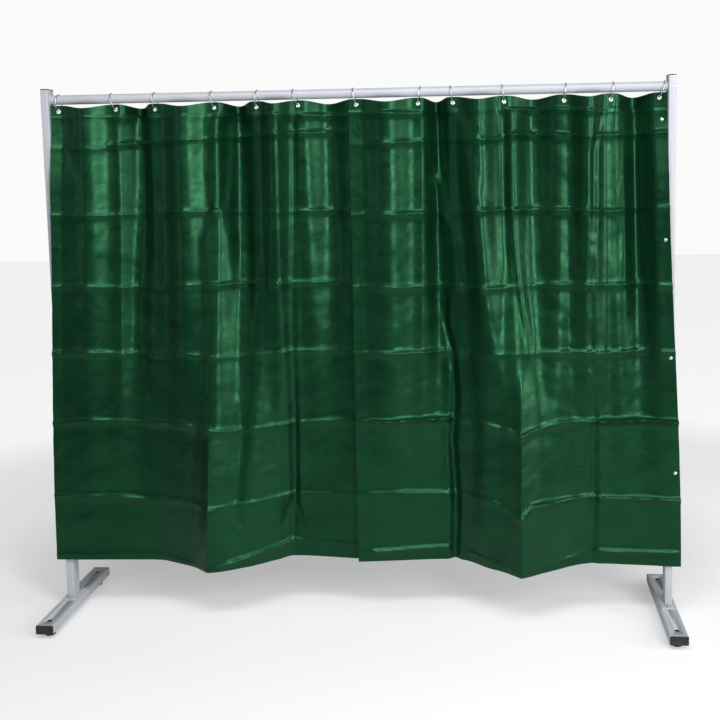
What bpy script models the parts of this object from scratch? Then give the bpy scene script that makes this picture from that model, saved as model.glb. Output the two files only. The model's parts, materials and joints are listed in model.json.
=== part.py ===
"""Free-standing welding screen, in metres, +Z up, its front towards -Y.

Two rectangular posts stand on flat tube feet and carry a round rail. Two PVC curtains hang from it on
wire rings. The origin is on the floor, midway between the feet.
"""

from dataclasses import dataclass
from math import cos, pi, radians, sin, sqrt, tan

import bmesh
import bpy
import numpy as np
from mathutils import Matrix, Vector

# Room between touching pieces.
GAP = 0.0003

# Posts: rectangular tube, narrow side to the front.
SCREEN_HEIGHT = 1.85
POST_SPACING = 2.11
POST_WIDTH = 0.025
POST_DEPTH = 0.050
POST_WALL = 0.002
CAP_FLANGE = 0.003
CAP_INSERT = 0.012

# Feet: flat rectangular tube lying front to back, with a plug in each end.
FOOT_LENGTH = 0.500
FOOT_WIDTH = 0.060
FOOT_HEIGHT = 0.030
FOOT_WALL = 0.002
POST_OUTSET = 0.003
PLUG_FLANGE = 0.004
PLUG_INSERT = 0.014

# Levelling feet: pad, hexagon collar and threaded stem, turned from above through the access hole.
PAD_DIAMETER = 0.034
PAD_HEIGHT = 0.010
COLLAR_FLATS = 0.017
COLLAR_HEIGHT = 0.0085
STEM_DIAMETER = 0.010
STEM_LENGTH = 0.022
LEVELLER_INSET = 0.045
ACCESS_HOLE = 0.016
NUT_DIAMETER = 0.020
NUT_HEIGHT = 0.009

# Base plate under each post, bolted to the foot in front of the post and behind it.
PLATE_WIDTH = 0.050
PLATE_LENGTH = 0.108
PLATE_THICKNESS = 0.005
BOLT_DIAMETER = 0.008
BOLT_FLATS = 0.013
BOLT_HEAD = 0.0053
BASE_BOLT_REACH = 0.018
RAIL_BOLT_REACH = 0.018
HOLE_CLEARANCE = 0.0006

# Rail: round tube butted between the posts, with a threaded plug in each end.
RAIL_DIAMETER = 0.032
RAIL_WALL = 0.0015
RAIL_DROP = 0.037
RAIL_PLUG_LENGTH = 0.030

# Rings. The lean of each, left to right, is how far its top stands to the right of its foot.
RING_SLACK = 0.020
RING_WIRE = 0.003
RING_STATIONS = 20
RING_LEANS = tuple(radians(a) for a in (4, -15, 0, -10, 4, -18, -10, 10, -8, -7, 6, 8, 17))
END_RING_INSET = 0.025
CENTRE_RING_X = 0.0126

# Curtains and what is punched into them.
CURTAIN_WIDTH = 1.40
CURTAIN_THICKNESS = 0.001
HEM_HEIGHT = 0.194
EYELETS = 7
EYELET_MARGIN = 0.025
HEADER_CLEARANCE = 0.003
EYELET_HOLE = 0.009
EYELET_WALL = 0.001
EYELET_RIM = 0.002
EYELET_THICKNESS = 0.0034
FLAT_AT_EYELET = 0.010
SHEET_CLEARANCE = 0.00035
HEADER = 0.045
HEADER_DROOP = 0.012
END_TURN = radians(25)
END_STRIP = 0.040
HEM_OVERHANG = 0.045
POST_CLEARANCE = 0.007
STUDS = 4
STUD_MARGIN = 0.018
STUD_FIRST = 0.089
STUD_LAST = 0.326
STUD_CAP = 0.012
STUD_BARREL = 0.006
STUD_DOME = 0.002

PUNCH_LENGTH = 0.008

# Fineness of the meshes: sides of a round piece and of the ring wire, and steps and rows of a curtain.
ROUND = 12
WIRE_SIDES = 6
BULGE_STEPS = 6
HEM_SAMPLES = 1200
ROW_SHARES = (0.03, 0.06, 0.12, 0.2, 0.3, 0.42, 0.55, 0.7, 0.85, 1)
SHARP_EDGE = radians(35)

# Looks: colour, roughness, metallic and, on the curtains, opacity.
POWDER_COAT = ((0.60, 0.62, 0.64), 0.42, 0.0)
ZINC = ((0.72, 0.73, 0.74), 0.3, 1.0)
NICKEL = ((0.80, 0.82, 0.80), 0.25, 1.0)
PLASTIC = ((0.02, 0.02, 0.02), 0.5, 0.0)
RUBBER = ((0.02, 0.02, 0.02), 0.6, 0.0)
PVC = ((0.01, 0.16, 0.07), 0.18, 0.0, 0.9)

leveller_drop = PAD_HEIGHT + COLLAR_HEIGHT + GAP
foot_top = leveller_drop + FOOT_HEIGHT
plate_base = foot_top + GAP
post_base = plate_base + PLATE_THICKNESS + GAP
post_top = SCREEN_HEIGHT - CAP_FLANGE
post_x = POST_SPACING / 2
foot_x = post_x - POST_OUTSET
rail_z = SCREEN_HEIGHT - RAIL_DROP
rail_top = rail_z + RAIL_DIAMETER / 2
rail_end = post_x - POST_WIDTH / 2 - GAP
ring_radius = (RAIL_DIAMETER + RING_SLACK + RING_WIRE) / 2
end_ring_x = rail_end - END_RING_INSET
bolt_y = (POST_DEPTH + PLATE_LENGTH) / 4
leveller_y = FOOT_LENGTH / 2 - LEVELLER_INSET
edge_depth = POST_DEPTH / 2 + POST_CLEARANCE
eyelet_pitch = (CURTAIN_WIDTH - 2 * EYELET_MARGIN) / (EYELETS - 1)
header_z = rail_z - RAIL_DIAMETER / 2 - HEADER_CLEARANCE
curtain_height = header_z - HEM_HEIGHT
eyelet_barrel = EYELET_HOLE + 2 * EYELET_WALL
eyelet_flange = eyelet_barrel + 2 * EYELET_RIM


# ---- shared helpers

def smooth(share):
    """Ease from 0 to 1 with level ends."""
    share = np.clip(share, 0.0, 1.0)
    return share * share * (3 - 2 * share)


def new_material(name, colour, roughness, metallic, alpha=1.0):
    material = bpy.data.materials.new(name)
    material.use_nodes = True
    shader = material.node_tree.nodes["Principled BSDF"]
    shader.inputs["Base Color"].default_value = (*colour, 1.0)
    shader.inputs["Roughness"].default_value = roughness
    shader.inputs["Metallic"].default_value = metallic
    shader.inputs["Alpha"].default_value = alpha
    return material


def add_object(name, points, faces, look):
    """A closed body from points and faces, its faces turned outwards."""
    mesh = bpy.data.meshes.new(name)
    mesh.from_pydata(np.asarray(points).tolist(), [], faces)
    shape = bmesh.new()
    shape.from_mesh(mesh)
    bmesh.ops.recalc_face_normals(shape, faces=shape.faces)
    shape.to_mesh(mesh)
    shape.free()
    mesh.shade_smooth()
    mesh.set_sharp_from_angle(angle=SHARP_EDGE)
    body = bpy.data.objects.new(name, mesh)
    bpy.context.collection.objects.link(body)
    if look:
        mesh.materials.append(new_material(name, *look))
    return body


def loft(name, loops, look, closed=False):
    """Skin over loops of equal count; the ends are capped, or joined when closed."""
    count, around = len(loops), len(loops[0])
    faces = []
    for first in range(count if closed else count - 1):
        second = (first + 1) % count
        for k in range(around):
            after = (k + 1) % around
            faces.append([first * around + k, first * around + after,
                          second * around + after, second * around + k])
    if not closed:
        faces.append(list(range(around)))
        faces.append(list(range((count - 1) * around, count * around)))
    return add_object(name, np.concatenate(loops), faces, look)


def rectangle(width, depth, z):
    return np.array([(x * width / 2, y * depth / 2, z) for x, y in ((-1, -1), (1, -1), (1, 1), (-1, 1))])


def circle(diameter, z, sides=ROUND):
    turn = np.arange(sides) * 2 * pi / sides
    return np.stack([np.cos(turn), np.sin(turn), 0 * turn + 2 * z / diameter], 1) * diameter / 2


def hexagon(flats, z):
    """Hexagon with a point at each corner and at the middle of each side."""
    turn = np.arange(ROUND) * 2 * pi / ROUND
    reach = np.where(np.arange(ROUND) % 2, flats / 2, flats / sqrt(3))
    return np.stack([np.cos(turn) * reach, np.sin(turn) * reach, 0 * turn + z], 1)


def place(body, location, turn=(0, 0, 0)):
    body.location = location
    body.rotation_euler = turn
    return body


def pegs(name, places, diameter, length):
    """One helper mesh of separate round pegs; each place is a centre and a direction."""
    helper = bmesh.new()
    for centre, direction in places:
        turn = Vector(direction).to_track_quat("Z", "Y").to_matrix().to_4x4()
        bmesh.ops.create_cone(
            helper, cap_ends=True, segments=ROUND, radius1=diameter / 2, radius2=diameter / 2,
            depth=length, matrix=Matrix.Translation(centre) @ turn)
    mesh = bpy.data.meshes.new(name)
    helper.to_mesh(mesh)
    helper.free()
    body = bpy.data.objects.new(name, mesh)
    body.hide_render = True
    body.display_type = "WIRE"
    bpy.context.collection.objects.link(body)
    return body


def combine(body, helper, operation="DIFFERENCE"):
    change = body.modifiers.new(helper.name, "BOOLEAN")
    change.operation = operation
    change.object = helper


# ---- frame

def rectangular_tube(name, width, depth, length, wall):
    """Open steel tube along Z, from 0 to its length."""
    inside = (width - 2 * wall, depth - 2 * wall)
    loops = [rectangle(width, depth, 0), rectangle(width, depth, length),
             rectangle(*inside, length), rectangle(*inside, 0)]
    return loft(name, loops, POWDER_COAT, closed=True)


def tube_plug(name, width, depth, wall, flange, insert):
    """Plastic cover flange on top of z = 0 and an insert below it that fits inside the tube."""
    inside = (width - 2 * wall - 2 * GAP, depth - 2 * wall - 2 * GAP)
    loops = [rectangle(*inside, -insert), rectangle(*inside, GAP),
             rectangle(width, depth, GAP), rectangle(width, depth, flange)]
    return loft(name, loops, PLASTIC)


def bolt(name, reach):
    """Hexagon bolt: its head stands on z = 0 and its shank runs down from there."""
    loops = [hexagon(BOLT_FLATS, BOLT_HEAD), hexagon(BOLT_FLATS, GAP),
             circle(BOLT_DIAMETER, GAP), circle(BOLT_DIAMETER, -reach)]
    return loft(name, loops, ZINC)


def leveller(name):
    """Round pad on z = 0, the hexagon collar above it and the threaded stem."""
    collar_top = PAD_HEIGHT + COLLAR_HEIGHT
    loops = [circle(PAD_DIAMETER, 0), circle(PAD_DIAMETER, PAD_HEIGHT),
             hexagon(COLLAR_FLATS, PAD_HEIGHT), hexagon(COLLAR_FLATS, collar_top),
             circle(STEM_DIAMETER, collar_top), circle(STEM_DIAMETER, collar_top + STEM_LENGTH)]
    return loft(name, loops, RUBBER)


def build_post(side, label):
    x = side * post_x
    post = rectangular_tube(f"{label}_post", POST_WIDTH, POST_DEPTH, post_top - post_base, POST_WALL)
    place(post, (x, 0, post_base))
    hole = pegs(f"{label}_post_hole", [((0, 0, rail_z - post_base), (1, 0, 0))],
                BOLT_DIAMETER + HOLE_CLEARANCE, 2 * POST_WIDTH)
    hole.parent = post
    combine(post, hole)
    cap = tube_plug(f"{label}_post_cap", POST_WIDTH, POST_DEPTH, POST_WALL, CAP_FLANGE, CAP_INSERT)
    place(cap, (x, 0, post_top))


def build_foot(side, label):
    x = side * foot_x
    tube_length = FOOT_LENGTH - 2 * PLUG_FLANGE
    foot = rectangular_tube(f"{label}_foot", FOOT_WIDTH, FOOT_HEIGHT, tube_length, FOOT_WALL)
    foot.data.transform(Matrix.Rotation(-pi / 2, 4, "X") @ Matrix.Translation((0, 0, -tube_length / 2)))
    middle = leveller_drop + FOOT_HEIGHT / 2
    place(foot, (x, 0, middle))
    floor = -FOOT_HEIGHT / 2
    ends = (-leveller_y, leveller_y)
    nut_z = floor + FOOT_WALL + NUT_HEIGHT / 2 - GAP
    nuts = pegs(f"{label}_foot_nuts", [((0, y, nut_z), (0, 0, 1)) for y in ends], NUT_DIAMETER, NUT_HEIGHT)
    stem_holes = pegs(f"{label}_stem_holes", [((0, y, floor), (0, 0, 1)) for y in ends],
                      STEM_DIAMETER + 2 * GAP, 2 * (FOOT_WALL + NUT_HEIGHT) + FOOT_WALL)
    access = pegs(f"{label}_access_holes", [((0, y, -floor), (0, 0, 1)) for y in ends],
                  ACCESS_HOLE, 2 * FOOT_WALL + GAP)
    bolt_holes = pegs(f"{label}_foot_bolt_holes", [((0, y, -floor), (0, 0, 1)) for y in (-bolt_y, bolt_y)],
                      BOLT_DIAMETER + HOLE_CLEARANCE, 2 * FOOT_WALL + GAP)
    for helper, operation in ((nuts, "UNION"), (stem_holes, "DIFFERENCE"), (access, "DIFFERENCE"),
                              (bolt_holes, "DIFFERENCE")):
        helper.parent = foot
        combine(foot, helper, operation)

    for end, facing, y_side in (("front", pi / 2, -1), ("rear", -pi / 2, 1)):
        plug = tube_plug(f"{label}_foot_plug_{end}", FOOT_WIDTH, FOOT_HEIGHT, FOOT_WALL, PLUG_FLANGE,
                         PLUG_INSERT)
        place(plug, (x, y_side * tube_length / 2, middle), (facing, 0, 0))
        place(leveller(f"{label}_leveller_{end}"), (x, y_side * leveller_y, 0))

    faces = [rectangle(PLATE_WIDTH, PLATE_LENGTH, z) for z in (0, PLATE_THICKNESS)]
    plate = loft(f"{label}_base_plate", faces, POWDER_COAT)
    place(plate, (x, 0, plate_base))
    holes = pegs(f"{label}_plate_holes", [((0, y, 0), (0, 0, 1)) for y in (-bolt_y, bolt_y)],
                 BOLT_DIAMETER + HOLE_CLEARANCE, 4 * PLATE_THICKNESS)
    holes.parent = plate
    combine(plate, holes)
    for end, y in (("front", -bolt_y), ("rear", bolt_y)):
        base_bolt = bolt(f"{label}_base_bolt_{end}", BASE_BOLT_REACH)
        place(base_bolt, (x, y, plate_base + PLATE_THICKNESS))


def build_rail():
    bore = RAIL_DIAMETER - 2 * RAIL_WALL
    sides = 2 * ROUND
    loops = [circle(RAIL_DIAMETER, -rail_end, sides), circle(RAIL_DIAMETER, rail_end, sides),
             circle(bore, rail_end, sides), circle(bore, -rail_end, sides)]
    place(loft("rail", loops, POWDER_COAT, closed=True), (0, 0, rail_z), (0, pi / 2, 0))
    for side, label in ((-1, "left"), (1, "right")):
        outer, thread = bore - 2 * GAP, BOLT_DIAMETER + HOLE_CLEARANCE
        loops = [circle(outer, 0), circle(outer, -RAIL_PLUG_LENGTH),
                 circle(thread, -RAIL_PLUG_LENGTH), circle(thread, 0)]
        plug = loft(f"{label}_rail_plug", loops, PLASTIC, closed=True)
        place(plug, (side * rail_end, 0, rail_z), (0, side * pi / 2, 0))
        rail_bolt = bolt(f"{label}_rail_bolt", POST_WIDTH + RAIL_BOLT_REACH)
        place(rail_bolt, (side * (post_x + POST_WIDTH / 2), 0, rail_z), (0, side * pi / 2, 0))


# ---- curtains

@dataclass
class Curtain:
    """A hung sheet, set out by its flat distance from its left edge and its share of height from the top."""

    name: str
    side: int               # -1 hangs to the left post, +1 to the right one
    slack_shares: tuple     # how the spare width is shared out between the eyelets, left to right
    bulges: tuple           # -1 forward or +1 backward for each stretch between eyelets
    hem_folds: tuple        # share of the hem's width and depth of each fold, left to right
    leans: tuple            # lean of the ring at each eyelet

    def layer(self):
        """The two end eyelets on the centre ring lie one behind the other, the right curtain in front."""
        return -self.side * (EYELET_THICKNESS + GAP) / 2

    def eyelet_x(self):
        start, end = (-end_ring_x, CENTRE_RING_X) if self.side < 0 else (CENTRE_RING_X, end_ring_x)
        spare = (EYELETS - 1) * eyelet_pitch - (end - start)
        gaps = eyelet_pitch - spare * np.array(self.slack_shares) / sum(self.slack_shares)
        return start + np.concatenate([[0], np.cumsum(gaps)])

    def eyelet_y(self):
        depth = np.zeros(EYELETS)
        depth[-1 if self.side < 0 else 0] = self.layer()
        return depth

    def eyelet_z(self):
        """Centre height of each eyelet: the top of its hole rests on its ring, which curves up both ways."""
        ring_foot = rail_top + GAP + RING_WIRE - 2 * ring_radius * np.cos(self.leans)
        rise = (np.abs(self.eyelet_y()) + EYELET_THICKNESS) * tan(pi / RING_STATIONS)
        return ring_foot + rise + GAP - EYELET_HOLE / 2

    def top_line(self, flat):
        """X, Y and Z along the header: straight at the eyelets, bulged by the spare width between them."""
        flat = np.asarray(flat, float)
        turn = np.zeros(EYELETS)
        turn[0 if self.side < 0 else -1] = -self.side * END_TURN
        heading = np.stack([np.cos(turn), np.sin(turn)], 1)
        eyelet = np.stack([self.eyelet_x(), self.eyelet_y()], 1)
        at = EYELET_MARGIN + eyelet_pitch * np.arange(EYELETS)
        loose = eyelet_pitch - 2 * FLAT_AT_EYELET
        i = np.clip(np.searchsorted(at, flat) - 1, 0, EYELETS - 2)
        past = flat - at[i] - FLAT_AT_EYELET
        start = eyelet[i] + FLAT_AT_EYELET * heading[i]
        chord = eyelet[i + 1] - FLAT_AT_EYELET * heading[i + 1] - start
        span = np.linalg.norm(chord, axis=-1)
        u = np.clip(past / loose, 0, 1)
        plan = start + chord * u[..., None]
        plan += np.minimum(past, 0)[..., None] * heading[i]
        plan += np.maximum(past - loose, 0)[..., None] * heading[i + 1]
        bow = np.sin(pi * u) ** 2
        depth = 2 / pi * np.sqrt(span * (loose - span))
        y = plan[..., 1] + np.array(self.bulges)[i] * depth * bow
        return plan[..., 0], y, header_z - HEADER_DROOP * bow

    def hem_line(self, flat):
        """X and Y along the hem: waves between the fold points, spread evenly by length."""
        inner = CENTRE_RING_X - self.side * EYELET_MARGIN
        outer = self.side * (rail_end + HEM_OVERHANG + POST_CLEARANCE)
        start, end = sorted((inner, outer))
        shares, depths = (np.array(column) for column in zip(*self.hem_folds))
        fine = np.linspace(0, 1, HEM_SAMPLES)
        i = np.clip(np.searchsorted(shares, fine) - 1, 0, len(shares) - 2)
        u = smooth((fine - shares[i]) / (shares[i + 1] - shares[i]))
        x, y = start + fine * (end - start), depths[i] + (depths[i + 1] - depths[i]) * u
        length = np.concatenate([[0], np.cumsum(np.hypot(np.diff(x), np.diff(y)))])
        at = np.asarray(flat) / CURTAIN_WIDTH * length[-1]
        return np.interp(at, length, x), np.interp(at, length, y)

    def points(self, flat, share):
        """Mid-surface points: the header line eases into the hem line, and the outer edge leans forward
        of its post before it spreads past it."""
        flat, share = np.broadcast_arrays(np.asarray(flat, float), np.asarray(share, float))
        x_top, y_top, z_top = self.top_line(flat)
        x_hem, y_hem = self.hem_line(flat)
        below_header = share - HEADER / curtain_height
        ease = smooth(below_header / (1 - HEADER / curtain_height))
        from_outer = flat if self.side < 0 else CURTAIN_WIDTH - flat
        edge = 1 - smooth((from_outer - END_STRIP) / (2 * END_STRIP))
        forward = edge_depth * edge * smooth(below_header / (2 * HEADER / curtain_height)) * (1 - ease)
        x = x_top * (1 - ease) + x_hem * ease
        y = y_top * (1 - ease) + y_hem * ease - forward
        return np.stack([x, y, z_top * (1 - share) + HEM_HEIGHT * share], -1)


def sheet_columns():
    """Flat distances of the mesh columns: both edges, and steps along each bulge."""
    at = EYELET_MARGIN + eyelet_pitch * np.arange(EYELETS)
    loose = eyelet_pitch - 2 * FLAT_AT_EYELET
    along = FLAT_AT_EYELET + loose * np.arange(BULGE_STEPS + 1) / BULGE_STEPS
    inner = (at[:-1, None] + along[None, :]).ravel()
    return np.concatenate([[0.0], inner, [CURTAIN_WIDTH]])


def frame_on(middle, flat, share, at_flat, at_share):
    """A point of the sheet's mesh and the unit normal of its facet there, towards the front. Each patch of
    the mesh is split from its upper left corner to its lower right one."""
    i = int(np.clip(np.searchsorted(flat, at_flat) - 1, 0, len(flat) - 2))
    j = int(np.clip(np.searchsorted(share, at_share) - 1, 0, len(share) - 2))
    u = (at_flat - flat[i]) / (flat[i + 1] - flat[i])
    v = (at_share - share[j]) / (share[j + 1] - share[j])
    upper_left, upper_right = middle[j, i:i + 2]
    lower_left, lower_right = middle[j + 1, i:i + 2]
    if v > u:
        across, down = lower_right - lower_left, lower_left - upper_left
    else:
        across, down = upper_right - upper_left, lower_right - upper_right
    normal = np.cross(across, down)
    normal /= np.linalg.norm(normal)
    return upper_left + u * across + v * down, normal if normal[1] < 0 else -normal


def build_curtain(curtain, studs):
    """The sheet with its wall, punched for its eyelets and studs, and what is set in those holes."""
    flat = sheet_columns()
    header = HEADER / curtain_height
    share = np.concatenate([[0, header], header + (1 - header) * np.array(ROW_SHARES)])
    rows, columns = len(share), len(flat)
    middle = curtain.points(flat[None, :], share[:, None])
    across = np.gradient(middle, axis=1)
    down = np.gradient(middle, axis=0)
    normal = np.cross(down, across)
    normal /= np.linalg.norm(normal, axis=-1, keepdims=True)
    half = CURTAIN_THICKNESS / 2
    points = np.concatenate([middle + normal * half, middle - normal * half]).reshape(-1, 3)
    index = np.arange(rows * columns).reshape(rows, columns)
    back = index + rows * columns
    faces = []
    for sheet, turn in ((index, 1), (back, -1)):
        upper_left, lower_left = sheet[:-1, :-1], sheet[1:, :-1]
        upper_right, lower_right = sheet[:-1, 1:], sheet[1:, 1:]
        for corners in ((upper_left, lower_left, lower_right), (upper_left, lower_right, upper_right)):
            faces += np.stack(corners, -1).reshape(-1, 3)[:, ::turn].tolist()
    rim = np.concatenate([index[0, :-1], index[:-1, -1], index[-1, :0:-1], index[:0:-1, 0]])
    rim_back = rim + rows * columns
    faces += np.stack([rim, np.roll(rim, -1), np.roll(rim_back, -1), rim_back], -1).tolist()
    body = add_object(curtain.name, points, faces, PVC)

    eyelets = [frame_on(middle, flat, share, *spot) for spot in eyelet_places(curtain)]
    punch = eyelet_barrel + 2 * SHEET_CLEARANCE
    combine(body, pegs(f"{curtain.name}_eyelet_holes", eyelets, punch, PUNCH_LENGTH))
    if studs:
        places = [frame_on(middle, flat, share, *spot) for spot in stud_places()]
        punch = STUD_BARREL + 2 * SHEET_CLEARANCE
        combine(body, pegs(f"{curtain.name}_stud_holes", places, punch, PUNCH_LENGTH))
        for k, (centre, normal) in enumerate(places):
            build_stud(f"side_stud_{k + 1}", centre, normal)
    for k, (centre, normal) in enumerate(eyelets):
        order = k + 1 if curtain.side < 0 else EYELETS - k
        label = "left" if curtain.side < 0 else "right"
        build_eyelet(f"{label}_eyelet_{order}", centre, normal)


def eyelet_places(curtain):
    """Flat distance and height share of each eyelet's centre."""
    drop = (header_z - curtain.eyelet_z()) / curtain_height
    return [(EYELET_MARGIN + eyelet_pitch * k, drop[k]) for k in range(EYELETS)]


def stud_places():
    """Flat distance and height share of each stud's centre, down the right-hand edge."""
    drop = np.linspace(STUD_FIRST, curtain_height - STUD_LAST, STUDS)
    return [(CURTAIN_WIDTH - STUD_MARGIN, share) for share in drop / curtain_height]


def build_eyelet(name, centre, normal):
    """Rolled eyelet: two flanges on a barrel, with the sheet between them."""
    half, groove = EYELET_THICKNESS / 2, CURTAIN_THICKNESS / 2 + SHEET_CLEARANCE
    loops = [circle(EYELET_HOLE, -half), circle(eyelet_flange, -half), circle(eyelet_flange, -groove),
             circle(eyelet_barrel, -groove), circle(eyelet_barrel, groove), circle(eyelet_flange, groove),
             circle(eyelet_flange, half), circle(EYELET_HOLE, half)]
    body = loft(name, loops, NICKEL, closed=True)
    place(body, centre, Vector(normal).to_track_quat("Z", "Y").to_euler())


def build_stud(name, centre, normal):
    """Press stud: a shallow dome in front of the sheet, a barrel through it and a flange behind."""
    half, groove = EYELET_THICKNESS / 2, CURTAIN_THICKNESS / 2 + SHEET_CLEARANCE
    loops = [circle(STUD_CAP, -half), circle(STUD_CAP, -groove), circle(STUD_BARREL, -groove),
             circle(STUD_BARREL, groove), circle(STUD_CAP, groove), circle(STUD_CAP, groove + STUD_DOME / 2),
             circle(STUD_CAP / 2, groove + STUD_DOME)]
    body = loft(name, loops, NICKEL)
    place(body, centre, Vector(normal).to_track_quat("Z", "Y").to_euler())


def build_ring(name, foot_x, lean):
    """Wire ring that hangs on the rail in a plane turned about Y by its lean."""
    turn = np.arange(RING_STATIONS) * 2 * pi / RING_STATIONS
    around = np.arange(WIRE_SIDES) * 2 * pi / WIRE_SIDES
    loops = []
    for angle in turn:
        reach = ring_radius + RING_WIRE / 2 * np.cos(around)
        loops.append(np.stack([RING_WIRE / 2 * np.sin(around), reach * cos(angle), reach * sin(angle)], 1))
    body = loft(name, loops, ZINC, closed=True)
    centre_z = rail_top + GAP + RING_WIRE / 2 - ring_radius * cos(lean)
    place(body, (foot_x + ring_radius * sin(lean), 0, centre_z), (0, lean, 0))


LEFT = Curtain(
    name="left_curtain", side=-1,
    slack_shares=(0.071, 0.275, 0.060, 0.252, 0.255, 0.087),
    bulges=(-1, 1, -1, 1, -1, 1),
    hem_folds=((0, -edge_depth), (0.33, -0.025), (0.54, -0.120), (0.76, 0.030), (1, 0.006)),
    leans=RING_LEANS[:EYELETS])
RIGHT = Curtain(
    name="right_curtain", side=1,
    slack_shares=(0.048, 0.314, 0.159, 0.078, 0.208, 0.193),
    bulges=(-1, 1, -1, 1, -1, 1),
    hem_folds=((0, -0.020), (0.30, 0.014), (0.51, -0.125), (0.73, -0.012), (1, -edge_depth)),
    leans=RING_LEANS[EYELETS - 1:])


def build_rings():
    """One ring at each eyelet; the centre ring carries the inner end of both curtains."""
    for k in range(EYELETS - 1):
        build_ring(f"left_ring_{k + 1}", LEFT.eyelet_x()[k], LEFT.leans[k])
        build_ring(f"right_ring_{k + 1}", RIGHT.eyelet_x()[-1 - k], RIGHT.leans[-1 - k])
    build_ring("centre_ring", CENTRE_RING_X, LEFT.leans[-1])


for old in list(bpy.data.objects):
    bpy.data.objects.remove(old)
for sign, word in ((-1, "left"), (1, "right")):
    build_post(sign, word)
    build_foot(sign, word)
build_rail()
build_rings()
build_curtain(LEFT, studs=False)
build_curtain(RIGHT, studs=True)
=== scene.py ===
"""Looks of a free-standing welding screen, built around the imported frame.

A powder-coated steel stand carries two glossy green PVC curtains on wire rings. Everything is in metres,
+Z up, the front towards -Y. Sizes that the stand and its curtains share are at the top.
"""

import json
import logging
from dataclasses import dataclass
from enum import Enum

import bmesh
import bpy
import numpy as np
from mathutils import Matrix

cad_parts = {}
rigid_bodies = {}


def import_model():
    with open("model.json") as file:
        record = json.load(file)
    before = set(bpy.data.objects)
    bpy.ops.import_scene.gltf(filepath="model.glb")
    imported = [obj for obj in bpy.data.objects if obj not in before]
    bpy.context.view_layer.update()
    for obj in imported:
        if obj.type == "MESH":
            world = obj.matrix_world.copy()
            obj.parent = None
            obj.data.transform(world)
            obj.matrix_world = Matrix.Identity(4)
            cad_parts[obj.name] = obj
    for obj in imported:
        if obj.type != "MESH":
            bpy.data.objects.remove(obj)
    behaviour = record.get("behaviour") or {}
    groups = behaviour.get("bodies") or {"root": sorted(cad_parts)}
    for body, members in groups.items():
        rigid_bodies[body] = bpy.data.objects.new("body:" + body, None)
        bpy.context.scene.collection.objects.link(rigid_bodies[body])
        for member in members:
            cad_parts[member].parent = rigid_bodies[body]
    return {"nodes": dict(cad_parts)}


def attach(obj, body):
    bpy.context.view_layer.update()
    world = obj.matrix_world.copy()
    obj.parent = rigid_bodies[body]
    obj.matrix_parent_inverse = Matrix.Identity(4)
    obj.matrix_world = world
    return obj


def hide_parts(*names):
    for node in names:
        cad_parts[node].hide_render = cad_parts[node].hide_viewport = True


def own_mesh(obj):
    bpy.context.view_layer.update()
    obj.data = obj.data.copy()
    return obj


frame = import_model()

LOG = logging.getLogger("welding_screen")

Array = np.ndarray
Point = tuple[float, float, float]

GAP = 0.0003
TURN = 2 * np.pi
WELD_DISTANCE = 1e-6
UPRIGHT = 0.9

# The rail, its rings and the header they carry.
RAIL_Z = 1.813
RAIL_RADIUS = 0.016
RAIL_END = 1.0422
CENTRE_RING_X = 0.0126
END_RING_X = 1.0172
HEADER_Z = RAIL_Z - RAIL_RADIUS - 0.003
EYELET_THICKNESS = 0.0034

# Samples along a line whose length or density is summed.
HEM_SAMPLES = 1200
DENSITY_SAMPLES = 6000


class Side(Enum):
    """The two halves of the screen, with the sign of their X."""

    LEFT = -1
    RIGHT = 1

    @property
    def word(self) -> str:
        """Name used in the frame for this half."""
        return self.name.lower()


class Slot(Enum):
    """Material slots of the record."""

    POWDER = "grey_powder_coat"
    ZINC = "zinc_steel"
    PLASTIC = "black_plastic"
    RUBBER = "black_rubber"
    PVC = "green_pvc"
    NICKEL = "nickel_plate"


# ---- surfaces

def smooth(share: Array) -> Array:
    """Ease from 0 to 1 with level ends: three times the square less twice the cube.

    Args:
        share: position between the two ends.

    Returns:
        The eased position, held at 0 and 1 outside the ends.
    """
    share = np.clip(share, 0.0, 1.0)
    return share * share * (3 - 2 * share)


def grid_faces(rows: int, columns: int, wrap_rows: bool, wrap_columns: bool) -> Array:
    """Corners of the quads between neighbouring grid points, row by row.

    Args:
        rows: points down the grid.
        columns: points across the grid.
        wrap_rows: the last row meets the first.
        wrap_columns: the last column meets the first.

    Returns:
        Four vertex numbers for each quad.
    """
    index = np.arange(rows * columns).reshape(rows, columns)
    index = np.concatenate([index, index[:1]]) if wrap_rows else index
    index = np.concatenate([index, index[:, :1]], axis=1) if wrap_columns else index
    quads = [index[:-1, :-1], index[1:, :-1], index[1:, 1:], index[:-1, 1:]]
    return np.stack(quads, -1).reshape(-1, 4)


def new_mesh(name: str, points: Array, faces: Array, sharp: float = 40.0) -> bpy.types.Mesh:
    """A smooth-shaded mesh whose doubled points are joined and whose faces look outwards.

    Args:
        name: name of the mesh.
        points: vertex places.
        faces: vertex numbers of each face.
        sharp: angle in degrees past which an edge stays crisp.

    Returns:
        The mesh.
    """
    mesh = bpy.data.meshes.new(name)
    mesh.from_pydata(points.reshape(-1, 3).tolist(), [], faces.tolist())
    shape = bmesh.new()
    shape.from_mesh(mesh)
    bmesh.ops.remove_doubles(shape, verts=shape.verts, dist=WELD_DISTANCE)
    bmesh.ops.recalc_face_normals(shape, faces=shape.faces)
    shape.to_mesh(mesh)
    shape.free()
    mesh.shade_smooth()
    mesh.set_sharp_from_angle(angle=np.radians(sharp))
    return mesh


def surface(name: str, grid: Array, wrap_rows: bool = False,
            sharp: float = 40.0) -> bpy.types.Mesh:
    """Mesh over a grid of points whose columns close on themselves.

    Args:
        name: name of the mesh.
        grid: points, rows by columns by 3; a row drawn to one point closes a pole.
        wrap_rows: the last row meets the first.
        sharp: angle in degrees past which an edge stays crisp.

    Returns:
        The mesh.
    """
    rows, columns = grid.shape[:2]
    return new_mesh(name, grid, grid_faces(rows, columns, wrap_rows, True), sharp)


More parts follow.
